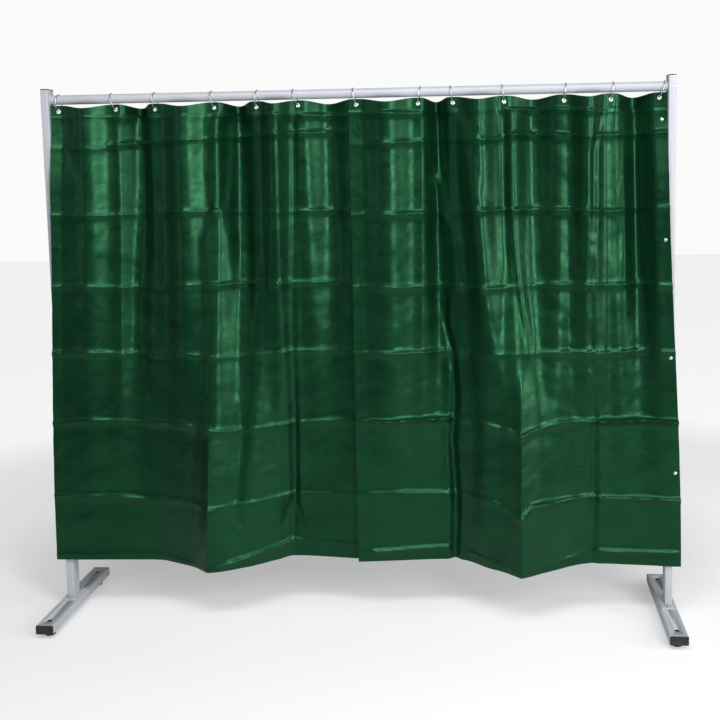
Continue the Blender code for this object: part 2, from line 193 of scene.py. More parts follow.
def turned(profile: Array, sides: int) -> Array:
    """A profile of radius and height turned about Z: radius times cosine and sine of the turn.

    Args:
        profile: rows of radius and height.
        sides: points round each circle.

    Returns:
        Grid of points, one row for each row of the profile.
    """
    turn = np.arange(sides) * TURN / sides
    radius, height = np.asarray(profile, float).T
    return np.stack([radius[:, None] * np.cos(turn), radius[:, None] * np.sin(turn),
                     height[:, None] + 0 * turn], -1)


def rounded_outline(width: float, depth: float, radius: float, corner: int = 6) -> Array:
    """Rectangle with round corners: each corner is a quarter circle about a point set in by the radius.

    Args:
        width: size along X.
        depth: size along Y.
        radius: corner radius.
        corner: steps in each corner.

    Returns:
        Points of the outline, anticlockwise, as X and Y.
    """
    quarter = np.linspace(0, TURN / 4, corner + 1)
    turn = (quarter[None, :] + np.arange(4)[:, None] * TURN / 4)
    centre = np.array([(1, 1), (-1, 1), (-1, -1), (1, -1)]) * (width / 2 - radius, depth / 2 - radius)
    ring = np.stack([np.cos(turn), np.sin(turn)], -1) * radius + centre[:, None, :]
    return ring.reshape(-1, 2)


def stacked(width: float, depth: float, radius: float,
            levels: list[tuple[float, float, float]]) -> Array:
    """Rounded rectangles stacked along Z, each set in from the full outline and then drawn to its centre.

    Args:
        width: size along X.
        depth: size along Y.
        radius: corner radius of the full outline.
        levels: set-in distance, share of the outline kept (0 is its centre) and height of each level.

    Returns:
        Grid of points, one row for each level.
    """
    rows = []
    for inset, share, height in levels:
        outline = rounded_outline(width - 2 * inset, depth - 2 * inset, max(radius - inset, GAP))
        rows.append(np.column_stack([outline * share, np.full(len(outline), height)]))
    return np.array(rows)


def hexagon(flats: float, levels: list[tuple[float, float]], sides: int = 48) -> Array:
    """A hexagonal bar cut by a cone: the radius is the lesser of the hexagon's and the level's own limit.

    Args:
        flats: size across the flats.
        levels: limit radius and height of each level.
        sides: points round the bar, a multiple of six.

    Returns:
        Grid of points, one row for each level.
    """
    turn = np.arange(sides) * TURN / sides
    to_flat = np.mod(turn, TURN / 6) - TURN / 12
    reach = flats / 2 / np.cos(to_flat)
    limit, height = np.asarray(levels, float).T
    radius = np.minimum(reach[None, :], limit[:, None])
    return np.stack([radius * np.cos(turn), radius * np.sin(turn), height[:, None] + 0 * radius],
                    -1)


def moved(grid: Array, place: Point, turn: Matrix | Array | None = None) -> Array:
    """Grid turned about the origin and carried to its place.

    Args:
        grid: points, rows by columns by 3.
        place: where the origin goes.
        turn: rotation, or none.

    Returns:
        The carried grid.
    """
    turn = np.eye(3) if turn is None else np.array(turn, float)[:3, :3]
    return grid @ turn.T + np.array(place)


def joined(*meshes: tuple[Array, Array]) -> tuple[Array, Array]:
    """Several point and face arrays as one pair, with the face numbers carried on.

    Args:
        meshes: pairs of points and quads.

    Returns:
        All the points and all the quads.
    """
    starts = np.cumsum([0] + [points.reshape(-1, 3).shape[0] for points, _ in meshes[:-1]])
    points = np.concatenate([points.reshape(-1, 3) for points, _ in meshes])
    return points, np.concatenate([faces + start for (_, faces), start in zip(meshes, starts)])


def node_spot(node: str) -> tuple[Array, Array]:
    """Centre of a round frame node and the unit axis it is thin along, turned towards the front.

    Args:
        node: name of the node.

    Returns:
        The centre and the axis, found as the direction in which its points spread least.
    """
    mesh = frame["nodes"][node].data
    points = np.empty(len(mesh.vertices) * 3, np.float32)
    mesh.vertices.foreach_get("co", points)
    points = np.unique(np.round(points.reshape(-1, 3).astype(float), 6), axis=0)
    centre = points.mean(0)
    axis = np.linalg.svd(points - centre, full_matrices=False)[2][-1]
    return centre, -axis if axis[1] > 0 else axis


def facing(axis: Array) -> Array:
    """Rotation that carries Z onto the axis.

    Its first column is the level direction at right angles to the axis, or one near it where the axis is
    upright, and its second is at right angles to both.

    Args:
        axis: unit vector.

    Returns:
        The two sides and the axis, as columns.
    """
    side = np.cross([0.0, 0.0, 1.0] if abs(axis[2]) < UPRIGHT else [1.0, 0.0, 0.0], axis)
    side /= np.linalg.norm(side)
    return np.stack([side, np.cross(axis, side), axis], 1)


# ---- finishes

class Nodes:
    """A material's node tree, with short ways to add to it."""

    def __init__(self, name: str) -> None:
        """Starts a material with one Principled shader.

        Args:
            name: name of the material.
        """
        self.material = bpy.data.materials.new(name)
        self.material.use_nodes = True
        self.tree = self.material.node_tree
        self.shader = self.tree.nodes["Principled BSDF"]

    def add(self, kind: str, **values: object) -> bpy.types.Node:
        """Adds a node.

        Args:
            kind: node type.
            values: settings of the node, or default values of its sockets.

        Returns:
            The node.
        """
        node = self.tree.nodes.new(kind)
        for key, value in values.items():
            if key in node.inputs:
                node.inputs[key].default_value = value
            else:
                setattr(node, key, value)
        return node

    def link(self, source: bpy.types.NodeSocket, target: bpy.types.NodeSocket) -> None:
        """Joins two sockets."""
        self.tree.links.new(source, target)

    def place(self, scale: Point = (1.0, 1.0, 1.0)) -> bpy.types.NodeSocket:
        """Object coordinates, stretched.

        Args:
            scale: factor along each axis.

        Returns:
            The coordinates.
        """
        source = self.add("ShaderNodeTexCoord")
        mapping = self.add("ShaderNodeMapping")
        mapping.inputs["Scale"].default_value = scale
        self.link(source.outputs["Object"], mapping.inputs["Vector"])
        return mapping.outputs["Vector"]

    def noise(self, where: bpy.types.NodeSocket, scale: float,
              detail: float = 3.0) -> bpy.types.NodeSocket:
        """Noise, about 0 to 1.

        Args:
            where: coordinates.
            scale: blobs to the metre, roughly.
            detail: octaves of finer noise in it.

        Returns:
            The noise.
        """
        node = self.add("ShaderNodeTexNoise", Scale=scale, Detail=detail)
        self.link(where, node.inputs["Vector"])
        return node.outputs["Fac"]

    def ramp(self, source: bpy.types.NodeSocket, low: tuple, high: tuple,
             start: float = 0.3, end: float = 0.7) -> bpy.types.NodeSocket:
        """Colour that runs from low to high as the source goes from start to end.

        Args:
            source: the number that drives it.
            low: colour at the start.
            high: colour at the end.
            start: source value of the low colour.
            end: source value of the high colour.

        Returns:
            The colour.
        """
        node = self.add("ShaderNodeValToRGB")
        for stop, position, value in zip(node.color_ramp.elements, (start, end), (low, high)):
            stop.position, stop.color = position, (*value, 1.0)
        self.link(source, node.inputs["Fac"])
        return node.outputs["Color"]

    def spread(self, source: bpy.types.NodeSocket, low: float, high: float,
               start: float = 0.3, end: float = 0.7) -> bpy.types.NodeSocket:
        """Number that runs from low to high as the source goes from start to end.

        Args:
            source: the number that drives it.
            low: result at the start.
            high: result at the end.
            start: source value of the low result.
            end: source value of the high result.

        Returns:
            The number.
        """
        node = self.add("ShaderNodeMapRange")
        limits = {"From Min": start, "From Max": end, "To Min": low, "To Max": high}
        for key, value in limits.items():
            node.inputs[key].default_value = value
        self.link(source, node.inputs["Value"])
        return node.outputs["Result"]

    def bump(self, *heights: tuple[bpy.types.NodeSocket, float, float]) -> None:
        """Chains bumps onto the shader's normal.

        Args:
            heights: source, strength and depth in metres of each bump.
        """
        last = None
        for source, strength, depth in heights:
            node = self.add("ShaderNodeBump", Strength=strength, Distance=depth)
            self.link(source, node.inputs["Height"])
            if last:
                self.link(last, node.inputs["Normal"])
            last = node.outputs["Normal"]
        self.link(last, self.shader.inputs["Normal"])


@dataclass(frozen=True)
class PowderCoat:
    """Light grey powder coat with fine orange peel."""

    low: tuple = (0.46, 0.485, 0.53)
    high: tuple = (0.52, 0.545, 0.59)
    roughness: float = 0.36
    smoother: float = 0.05
    rougher: float = 0.07
    peel_scale: float = 900.0
    peel_bump: tuple = (0.25, 0.0002)
    cloud_scale: float = 7.0

    def make(self) -> bpy.types.Material:
        """Makes the material.

        Returns:
            The material.
        """
        nodes = Nodes("powder_coat")
        where = nodes.place()
        peel = nodes.noise(where, self.peel_scale, 2.0)
        cloud = nodes.noise(where, self.cloud_scale, 4.0)
        nodes.link(nodes.ramp(cloud, self.low, self.high), nodes.shader.inputs["Base Color"])
        nodes.link(nodes.spread(peel, self.roughness - self.smoother, self.roughness + self.rougher),
                   nodes.shader.inputs["Roughness"])
        nodes.bump((peel, *self.peel_bump))
        return nodes.material


@dataclass(frozen=True)
class Plated:
    """Bright plated metal with faint clouding and fine brushed marks."""

    name: str
    low: tuple
    high: tuple
    roughness: float
    smoother: float = 0.06
    rougher: float = 0.10
    metallic: float = 1.0
    mark_scale: float = 600.0
    mark_bump: tuple = (0.15, 0.0001)
    cloud_scale: float = 60.0

    def make(self) -> bpy.types.Material:
        """Makes the material.

        Returns:
            The material.
        """
        nodes = Nodes(self.name)
        where = nodes.place()
        marks = nodes.noise(where, self.mark_scale, 3.0)
        cloud = nodes.noise(where, self.cloud_scale, 3.0)
        nodes.shader.inputs["Metallic"].default_value = self.metallic
        nodes.link(nodes.ramp(cloud, self.low, self.high), nodes.shader.inputs["Base Color"])
        nodes.link(nodes.spread(marks, self.roughness - self.smoother, self.roughness + self.rougher),
                   nodes.shader.inputs["Roughness"])
        nodes.bump((marks, *self.mark_bump))
        return nodes.material


@dataclass(frozen=True)
class Moulded:
    """Black moulded plastic or rubber with a fine spark-eroded grain."""

    name: str
    low: tuple = (0.010, 0.010, 0.009)
    high: tuple = (0.024, 0.023, 0.020)
    roughness: float = 0.48
    smoother: float = 0.06
    rougher: float = 0.12
    grain_scale: float = 1400.0
    grain_bump: tuple = (0.3, 0.0002)
    dust_scale: float = 45.0

    def make(self) -> bpy.types.Material:
        """Makes the material.

        Returns:
            The material.
        """
        nodes = Nodes(self.name)
        where = nodes.place()
        grain = nodes.noise(where, self.grain_scale, 2.0)
        dust = nodes.noise(where, self.dust_scale, 5.0)
        nodes.link(nodes.ramp(dust, self.low, self.high), nodes.shader.inputs["Base Color"])
        nodes.link(nodes.spread(grain, self.roughness - self.smoother, self.roughness + self.rougher),
                   nodes.shader.inputs["Roughness"])
        nodes.bump((grain, *self.grain_bump))
        return nodes.material


@dataclass(frozen=True)
class GreenPvc:
    """Glossy dark green PVC: calendered film with soft ripples and faint clouding in the colour."""

    low: tuple = (0.0018, 0.0175, 0.0074)
    high: tuple = (0.0031, 0.0280, 0.0118)
    shine_tint: tuple = (0.24, 1.0, 0.46)
    shine: float = 0.55
    roughness: float = 0.31
    smoother: float = 0.05
    rougher: float = 0.09
    stretch: Point = (1.0, 1.0, 1.7)
    cloud_scale: float = 5.0
    ripple_scale: float = 26.0
    ripple_bump: tuple = (0.22, 0.0020)
    film_scale: float = 260.0
    film_bump: tuple = (0.05, 0.0002)

    def make(self) -> bpy.types.Material:
        """Makes the material.

        Returns:
            The material.
        """
        nodes = Nodes("green_pvc_film")
        across = nodes.place(self.stretch)
        cloud = nodes.noise(across, self.cloud_scale, 4.0)
        ripple = nodes.noise(across, self.ripple_scale, 1.0)
        film = nodes.noise(nodes.place(), self.film_scale, 2.0)
        nodes.link(nodes.ramp(cloud, self.low, self.high), nodes.shader.inputs["Base Color"])
        nodes.link(nodes.spread(ripple, self.roughness - self.smoother, self.roughness + self.rougher),
                   nodes.shader.inputs["Roughness"])
        nodes.shader.inputs["Specular IOR Level"].default_value = self.shine
        nodes.shader.inputs["Specular Tint"].default_value = (*self.shine_tint, 1.0)
        nodes.bump((ripple, *self.ripple_bump), (film, *self.film_bump))
        return nodes.material


@dataclass(frozen=True)
class Finishes:
    """Every material of the screen, by record slot."""

    by_slot: dict

    @classmethod
    def make(cls) -> "Finishes":
        """Makes each material once.

        Returns:
            The materials.
        """
        zinc = Plated("zinc_plate", (0.56, 0.57, 0.60), (0.74, 0.75, 0.77), 0.30)
        nickel = Plated("nickel_plate_bright", (0.80, 0.81, 0.78), (0.93, 0.93, 0.90), 0.24)
        rubber = Moulded("black_rubber_pad", roughness=0.62, grain_scale=900.0)
        return cls({
            Slot.POWDER: PowderCoat().make(),
            Slot.ZINC: zinc.make(),
            Slot.NICKEL: nickel.make(),
            Slot.PLASTIC: Moulded("moulded_black_plastic").make(),
            Slot.RUBBER: rubber.make(),
            Slot.PVC: GreenPvc().make(),
        })


class Maker:
    """Turns finished meshes into pieces: links, dresses, and ties each one to its body."""

    def __init__(self, finishes: Finishes) -> None:
        """Keeps the materials that the pieces take."""
        self.finishes = finishes

    def piece(self, mesh: bpy.types.Mesh, slot: Slot, body: str,
              nodes: tuple[str, ...]) -> bpy.types.Object:
        """Adds one piece.

        Args:
            mesh: its finished mesh, whose name the piece takes.
            slot: its finish.
            body: the body it moves with.
            nodes: the frame nodes it stands for.

        Returns:
            The object.
        """
        item = bpy.data.objects.new(mesh.name, mesh)
        bpy.context.scene.collection.objects.link(item)
        mesh.materials.append(self.finishes.by_slot[slot])
        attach(item, body)
        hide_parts(*nodes)
        LOG.info("%s: %d faces on %s", item.name, len(mesh.polygons), body)
        return item


# ---- stand

# Radius and height, from the floor up: the pad, and the limits that trim its hexagon collar.
PAD_SIDES = 48
PAD_PROFILE = ((0.0, 0.0), (0.0145, 0.0), (0.0163, 0.0007), (0.017, 0.0022), (0.017, 0.0062),
               (0.0162, 0.0083), (0.0135, 0.0094), (0.0095, 0.0098), (0.0, 0.0098))
COLLAR_PROFILE = ((0.0, 0.0096), (0.0091, 0.0096), (0.0096, 0.0101), (0.0096, 0.0178),
                  (0.0088, 0.0184), (0.0, 0.0184))


@dataclass
class Stand:
    """One side of the stand: post, foot, base plate, plugs, bolts and levelling feet."""

    side: Side
    maker: Maker
    post_x: float = 1.055
    foot_x: float = 1.052
    post_size: tuple = (0.025, 0.050)
    post_radius: float = 0.0025
    post_wall: float = 0.002
    screen_height: float = 1.85
    cap_flange: float = 0.003
    cap_insert: float = 0.012
    foot_size: tuple = (0.060, 0.030)
    foot_radius: float = 0.0035
    foot_length: float = 0.500
    foot_wall: float = 0.002
    plug_flange: float = 0.004
    plate_size: tuple = (0.050, 0.108)
    plate_thickness: float = 0.005
    bolt_flats: float = 0.013
    bolt_head: float = 0.0053
    bolt_y: float = 0.0395
    bolt_hole: float = 0.0043
    leveller_y: float = 0.205
    access_hole: float = 0.008
    stem_hole: float = 0.0054
    hole_sides: int = 40
    foot_base: float = 0.0188
    cap_edge: float = 0.0009
    plate_edge: float = 0.0007
    plate_radius: float = 0.003
    plug_edge: float = 0.0014
    plug_insert: float = 0.014
    plug_dish: float = 0.0006
    stem_radius: float = 0.00465
    stem_ends: tuple = (0.0180, 0.0400)
    stem_rows: int = 56
    stem_sides: int = 32
    thread_depth: float = 0.0003
    thread_pitch: float = 0.0015
    collar_flats: float = 0.017
    collar_base: float = 0.0099

    def build(self) -> None:
        """Builds and dresses every piece of this side."""
        self.build_post()
        self.build_foot()
        self.build_plate()
        self.build_bolts()
        for end, toward in (("front", -1), ("rear", 1)):
            self.build_plug(end, toward)
            self.build_leveller(end, toward)

    @property
    def foot_top(self) -> float:
        """Height of the foot's upper face."""
        return self.foot_base + self.foot_size[1]

    @property
    def plate_top(self) -> float:
        """Height of the base plate's upper face."""
        return self.foot_top + GAP + self.plate_thickness

    def tube(self, width: float, depth: float, radius: float, wall: float, length: float) -> Array:
        """Rectangular tube along Z: its outer outline up and its inner outline down, with eased ends.

        Args:
            width: size along X.
            depth: size along Y.
            radius: outer corner radius.
            wall: wall thickness.
            length: size along Z.

        Returns:
            Grid of points that closes on itself.
        """
        ease = wall / 5
        levels = [(ease, 1.0, 0.0), (0.0, 1.0, ease), (0.0, 1.0, length - ease),
                  (ease, 1.0, length), (wall, 1.0, length), (wall, 1.0, 0.0)]
        return stacked(width, depth, radius, levels)

    def build_post(self) -> None:
        """Post and the plastic cap in its top."""
        x, base = self.side.value * self.post_x, self.plate_top + GAP
        top = self.screen_height - self.cap_flange
        tube = self.tube(*self.post_size, self.post_radius, self.post_wall, top - base)
        mesh = surface(f"{self.side.word}_post_tube", moved(tube, (x, 0, base)), wrap_rows=True)
        self.maker.piece(mesh, Slot.POWDER, "frame", (f"{self.side.word}_post",))
        edge, inset = self.cap_edge, self.post_wall + GAP
        levels = [(inset, 0.0, -self.cap_insert), (inset, 1.0, -self.cap_insert), (inset, 1.0, GAP),
                  (0.0, 1.0, GAP), (0.0, 1.0, self.cap_flange - edge),
                  (edge * 0.3, 1.0, self.cap_flange - edge * 0.3), (edge, 1.0, self.cap_flange),
                  (edge, 0.5, self.cap_flange), (edge, 0.0, self.cap_flange)]
        grid = moved(stacked(*self.post_size, self.post_radius, levels), (x, 0, top))
        self.maker.piece(surface(f"{self.side.word}_post_cover", grid), Slot.PLASTIC, "frame",
                         (f"{self.side.word}_post_cap",))

    def build_foot(self) -> None:
        """Foot tube lying front to back, drilled for the bolts and for reaching the levelling screws."""
        length = self.foot_length - 2 * self.plug_flange
        width, height = self.foot_size
        grid = self.tube(width, height, self.foot_radius, self.foot_wall, length)
        lying = np.stack([grid[..., 0], grid[..., 2] - length / 2, -grid[..., 1]], -1)
        x, middle = self.side.value * self.foot_x, self.foot_base + height / 2
        foot = surface(f"{self.side.word}_foot_tube", moved(lying, (x, 0, middle)), wrap_rows=True)
        item = self.maker.piece(foot, Slot.POWDER, "frame", (f"{self.side.word}_foot",))
        holes = []
        deep = self.foot_wall * 1.5
        for y, z, radius in ((self.leveller_y, self.foot_top, self.access_hole),
                             (self.leveller_y, self.foot_base, self.stem_hole),
                             (self.bolt_y, self.foot_top, self.bolt_hole)):
            peg = turned([(0.0, -deep), (radius, -deep), (radius, deep), (0.0, deep)], self.hole_sides)
            faces = grid_faces(len(peg), self.hole_sides, False, True)
            holes += [(moved(peg, (x, toward * y, z)), faces) for toward in (-1, 1)]
        cutter = bpy.data.objects.new("foot_cutter", new_mesh("foot_cutter", *joined(*holes)))
        bpy.context.scene.collection.objects.link(cutter)
        drill = item.modifiers.new("drill", "BOOLEAN")
        drill.object, drill.operation, drill.solver = cutter, "DIFFERENCE", "EXACT"
        settle(item)
        bpy.data.objects.remove(cutter)

    def build_plate(self) -> None:
        """Base plate with eased edges, under the heads of its two bolts."""
        edge, thick = self.plate_edge, self.plate_thickness
        levels = [(edge, 0.0, 0.0), (edge, 0.5, 0.0), (edge, 1.0, 0.0), (0.0, 1.0, edge),
                  (0.0, 1.0, thick - edge), (edge * 0.3, 1.0, thick - edge * 0.3), (edge, 1.0, thick),
                  (edge, 0.5, thick), (edge, 0.0, thick)]
        place = (self.side.value * self.foot_x, 0, self.foot_top + GAP)
        grid = moved(stacked(*self.plate_size, self.plate_radius, levels), place)
        self.maker.piece(surface(f"{self.side.word}_plate", grid), Slot.POWDER, "frame",
                         (f"{self.side.word}_base_plate",))

    def bolt(self, name: str, place: Point, turn: Matrix, node: str) -> None:
        """Hexagon bolt with a washer face and a chamfered head.

        Args:
            name: name of the piece.
            place: the point it stands on.
            turn: rotation that carries Z onto its axis.
            node: the frame node it stands for.
        """
        head, flats = self.bolt_head, self.bolt_flats
        corner = flats / np.sqrt(3)
        limits = [(0.0, GAP), (flats * 0.46, GAP), (flats * 0.46, 0.0009), (corner, 0.0009),
                  (corner, head - 0.0012), (flats * 0.53, head - 0.0006), (flats * 0.47, head),
                  (flats * 0.30, head), (0.0, head)]
        grid = moved(hexagon(flats, limits), place, turn)
        self.maker.piece(surface(name, grid, sharp=25.0), Slot.ZINC, "frame", (node,))

    def build_bolts(self) -> None:
        """The two base bolts and the bolt through the post into the rail."""
        word = self.side.word
        for end, toward in (("front", -1), ("rear", 1)):
            place = (self.side.value * self.foot_x, toward * self.bolt_y, self.plate_top)
            self.bolt(f"{word}_plate_bolt_{end}", place, Matrix.Identity(3),
                      f"{word}_base_bolt_{end}")
        place = (self.side.value * (self.post_x + self.post_size[0] / 2), 0, RAIL_Z)
        turn = Matrix.Rotation(self.side.value * TURN / 4, 3, "Y")
        self.bolt(f"{word}_rail_bolt_head", place, turn, f"{word}_rail_bolt")

    def build_plug(self, end: str, toward: int) -> None:
        """Plastic plug in one end of the foot: an insert, and a flange with rounded edges and a dished face.

        Args:
            end: front or rear.
            toward: -1 for the front and 1 for the rear.
        """
        edge, flange, insert = self.plug_edge, self.plug_flange, self.plug_insert
        inset, dish = self.foot_wall + GAP, flange - self.plug_dish
        levels = [(inset, 0.0, -insert), (inset, 1.0, -insert), (inset, 1.0, GAP), (0.0, 1.0, GAP),
                  (0.0, 1.0, flange - edge), (edge * 0.3, 1.0, flange - edge * 0.3),
                  (edge, 1.0, flange), (edge, 0.8, flange), (edge, 0.74, dish), (edge, 0.0, dish)]
        grid = stacked(*self.foot_size, self.foot_radius, levels)
        turn = Matrix.Rotation(-toward * TURN / 4, 3, "X")
        start = toward * (self.foot_length / 2 - flange)
        place = (self.side.value * self.foot_x, start, self.foot_base + self.foot_size[1] / 2)
        mesh = surface(f"{self.side.word}_foot_cover_{end}", moved(grid, place, turn))
        self.maker.piece(mesh, Slot.PLASTIC, "frame", (f"{self.side.word}_foot_plug_{end}",))

    def build_leveller(self, end: str, toward: int) -> None:
        """Levelling foot: a pad with rounded edges, a hexagon collar and a threaded stem.

        The stem's radius is its mean radius plus a small wave that climbs one pitch in each turn.

        Args:
            end: front or rear.
            toward: -1 for the front and 1 for the rear.
        """
        pad = turned(PAD_PROFILE, PAD_SIDES)
        collar = hexagon(self.collar_flats, COLLAR_PROFILE)
        height = np.linspace(*self.stem_ends, self.stem_rows)
        turn = np.arange(self.stem_sides) * TURN / self.stem_sides
        climb = turn[None, :] + height[:, None] * TURN / self.thread_pitch
        radius = self.stem_radius + self.thread_depth * np.sin(climb)
        stem = np.stack([radius * np.cos(turn), radius * np.sin(turn), height[:, None] + 0 * radius],
                        -1)
        poles = np.zeros((1, self.stem_sides, 3)) + [0, 0, 1]
        stem = np.concatenate([poles * height[0], stem, poles * height[-1]])
        place = (self.side.value * self.foot_x, toward * self.leveller_y, 0)
        shapes = [(moved(grid, place), grid_faces(*grid.shape[:2], False, True))
                  for grid in (pad, collar, stem)]
        name = f"{self.side.word}_leveller_{end}"
        mesh = new_mesh(f"{name}_foot", *joined(*shapes))
        item = self.maker.piece(mesh, Slot.RUBBER, name, (name,))
        item.data.materials.append(self.maker.finishes.by_slot[Slot.ZINC])
        centre = np.empty(len(item.data.polygons) * 3, np.float32)
        item.data.polygons.foreach_get("center", centre)
        metal = centre.reshape(-1, 3)[:, 2] > self.collar_base
        item.data.polygons.foreach_set("material_index", metal.astype(np.int32))


def settle(item: bpy.types.Object) -> None:
    """Makes what an object's modifiers give its own mesh, and takes the modifiers away.

    Args:
        item: the object.
    """
    graph = bpy.context.evaluated_depsgraph_get()
    mesh = bpy.data.meshes.new_from_object(item.evaluated_get(graph))
    mesh.name = item.name
    item.modifiers.clear()
    item.data = mesh


@dataclass
class Rail:
    """Round rail between the posts."""

    maker: Maker
    wall: float = 0.0015
    edge: float = 0.0004
    sides: int = 96
    stations: int = 60

    def build(self) -> None:
        """Builds and dresses the rail: a circle carried along X, outside one way and inside back.

        The threaded plugs in its ends keep their own shape and get their finish.
        """
        edge = self.edge
        outer = [(RAIL_RADIUS - edge, -RAIL_END), (RAIL_RADIUS, -RAIL_END + edge)]
        along = np.linspace(-RAIL_END + edge, RAIL_END - edge, self.stations)[1:-1]
        outer += [(RAIL_RADIUS, float(x)) for x in along]
        outer += [(RAIL_RADIUS, RAIL_END - edge), (RAIL_RADIUS - edge, RAIL_END)]
        inner = RAIL_RADIUS - self.wall
        grid = turned(outer + [(inner, RAIL_END), (inner, -RAIL_END)], self.sides)
        grid = moved(grid, (0, 0, RAIL_Z), Matrix.Rotation(TURN / 4, 3, "Y"))
        self.maker.piece(surface("rail_tube", grid, wrap_rows=True), Slot.POWDER, "frame", ("rail",))
        for side in Side:
            finish = frame["nodes"][f"{side.word}_rail_plug"].data.materials
            finish.clear()
            finish.append(self.maker.finishes.by_slot[Slot.PLASTIC])
            LOG.info("%s_rail_plug: kept, in black plastic", side.word)


@dataclass
class Rings:
    """Wire rings on the rail: each is a circle of wire in its own leaning plane."""

    maker: Maker
    radius: float = 0.0275
    wire: float = 0.0015
    stations: int = 72
    sides: int = 14

    def build(self, node: str, body: str) -> None:
        """Builds one ring where its frame node hangs.

        Args:
            node: the frame node it stands for.
            body: the body it moves with.
        """
        centre, axis = node_spot(node)
        turn = np.arange(self.stations)[:, None] * TURN / self.stations
        around = np.arange(self.sides)[None, :] * TURN / self.sides
        reach = self.radius + self.wire * np.cos(around)
        off = self.wire * np.sin(around) + 0 * turn
        grid = np.stack([reach * np.cos(turn), reach * np.sin(turn), off], -1)
        mesh = surface(f"{node}_wire", moved(grid, centre, facing(axis)), wrap_rows=True, sharp=180.0)
        self.maker.piece(mesh, Slot.ZINC, body, (node,))


@dataclass
class Eyelets:
    """Rolled eyelets: a round-lipped flange in front, the barrel through the sheet and a washer behind."""

    maker: Maker
    bore: float = 0.0045
    flange: float = 0.0075
    half: float = 0.0017
    half_sheet: float = 0.0009
    sides: int = 40

    def build(self, node: str, body: str) -> None:
        """Builds one eyelet where its frame node sits.

        Args:
            node: the frame node it stands for.
            body: the body it moves with.
        """
        centre, axis = node_spot(node)
        b, f, h, sheet = self.bore, self.flange, self.half, self.half_sheet
        washer = [(b, -h * 0.6), (b + 0.0006, -h), (b + 0.0012, -h * 0.97),
                  (f - 0.0003, -sheet * 1.25), (f, -sheet), (f - 0.0004, -sheet * 0.95)]
        barrel = [(b + 0.001, -sheet * 0.95), (b + 0.001, sheet * 0.95)]
        lip = [(f - 0.0004, sheet * 0.95), (f, sheet * 1.05), (f - 0.0005, h * 0.86),
               (f - 0.0016, h), (b + 0.0012, h), (b + 0.0003, h * 0.8), (b, h * 0.4)]
        grid = moved(turned(washer + barrel + lip, self.sides), centre, facing(axis))
        mesh = surface(f"{node}_rolled", grid, wrap_rows=True, sharp=60.0)
        self.maker.piece(mesh, Slot.NICKEL, body, (node,))


# ---- curtains

# Radius and height of a press stud: washer, post, and the domed cap in front.
STUD_PROFILE = ((0.0, -0.0017), (0.0052, -0.0017), (0.006, -0.0012), (0.006, -0.0007),
                (0.003, -0.0006), (0.003, 0.0006), (0.006, 0.0006), (0.006, 0.0011),
                (0.0054, 0.0017), (0.0042, 0.0022), (0.0025, 0.0026), (0.0, 0.0028))


@dataclass(frozen=True)
class Fold:
    """A lengthwise ridge or hollow: its line down the sheet, with its width and lift at each height."""

    line: tuple             # height, X, reach to the left, reach to the right and lift, from the top down
    crisp: bool = False     # comes to an edge instead of a rounded crown

    def lift(self, x: Array, z: Array) -> Array:
        """How far the fold stands forward: its lift times a bell of the distance from its line.

        Args:
            x: X of the points.
            z: height of the points.

        Returns:
            The lift towards the front.
        """
        height, centre, left, right, lift = (column[::-1] for column in np.array(self.line).T)
        past = x - np.interp(z, height, centre)
        reach = np.where(past < 0, np.interp(z, height, left), np.interp(z, height, right))
        away = np.clip(np.abs(past) / reach, 0, 1)
        bell = (1 - away) ** 2 if self.crisp else 1 - smooth(away)
        return np.interp(z, height, lift) * bell


@dataclass(frozen=True)
class Crease:
    """A crosswise crease, left where the sheet was folded flat."""

    line: tuple             # X, height and lift, from left to right
    upper: float = 0.012    # reach above the line
    lower: float = 0.022    # reach below it
    peak: float = 1.2       # 1 is a straight-sided ridge; more is narrower at the crown

    def lift(self, x: Array, z: Array) -> Array:
        """How far the crease stands forward: its lift times a peak of the height above or below its line.

        Args:
            x: X of the points.
            z: height of the points.

        Returns:
            The lift towards the front.
        """
        along, height, lift = np.array(self.line).T
        past = z - np.interp(x, along, height)
        away = np.clip(np.abs(past) / np.where(past > 0, self.upper, self.lower), 0, 1)
        return np.interp(x, along, lift) * (1 - away) ** self.peak

    @property
    def height(self) -> float:
        """Mean height of its stations."""
        return float(np.array(self.line)[:, 1].mean())


@dataclass(frozen=True)
class Pucker:
    """A small local bump, an oval turned from level."""

    place: tuple        # X and height
    size: tuple         # half its length and half its width
    turn: float         # degrees
    lift_by: float

    def lift(self, x: Array, z: Array) -> Array:
        """How far the pucker stands forward: its lift times a bell of the distance in its own oval.

        Args:
            x: X of the points.
            z: height of the points.

        Returns:
            The lift towards the front.
        """
        c, s = np.cos(np.radians(self.turn)), np.sin(np.radians(self.turn))
        dx, dz = x - self.place[0], z - self.place[1]
        along, across = (dx * c + dz * s) / self.size[0], (dz * c - dx * s) / self.size[1]
        return self.lift_by * (1 - smooth(np.hypot(along, across)))


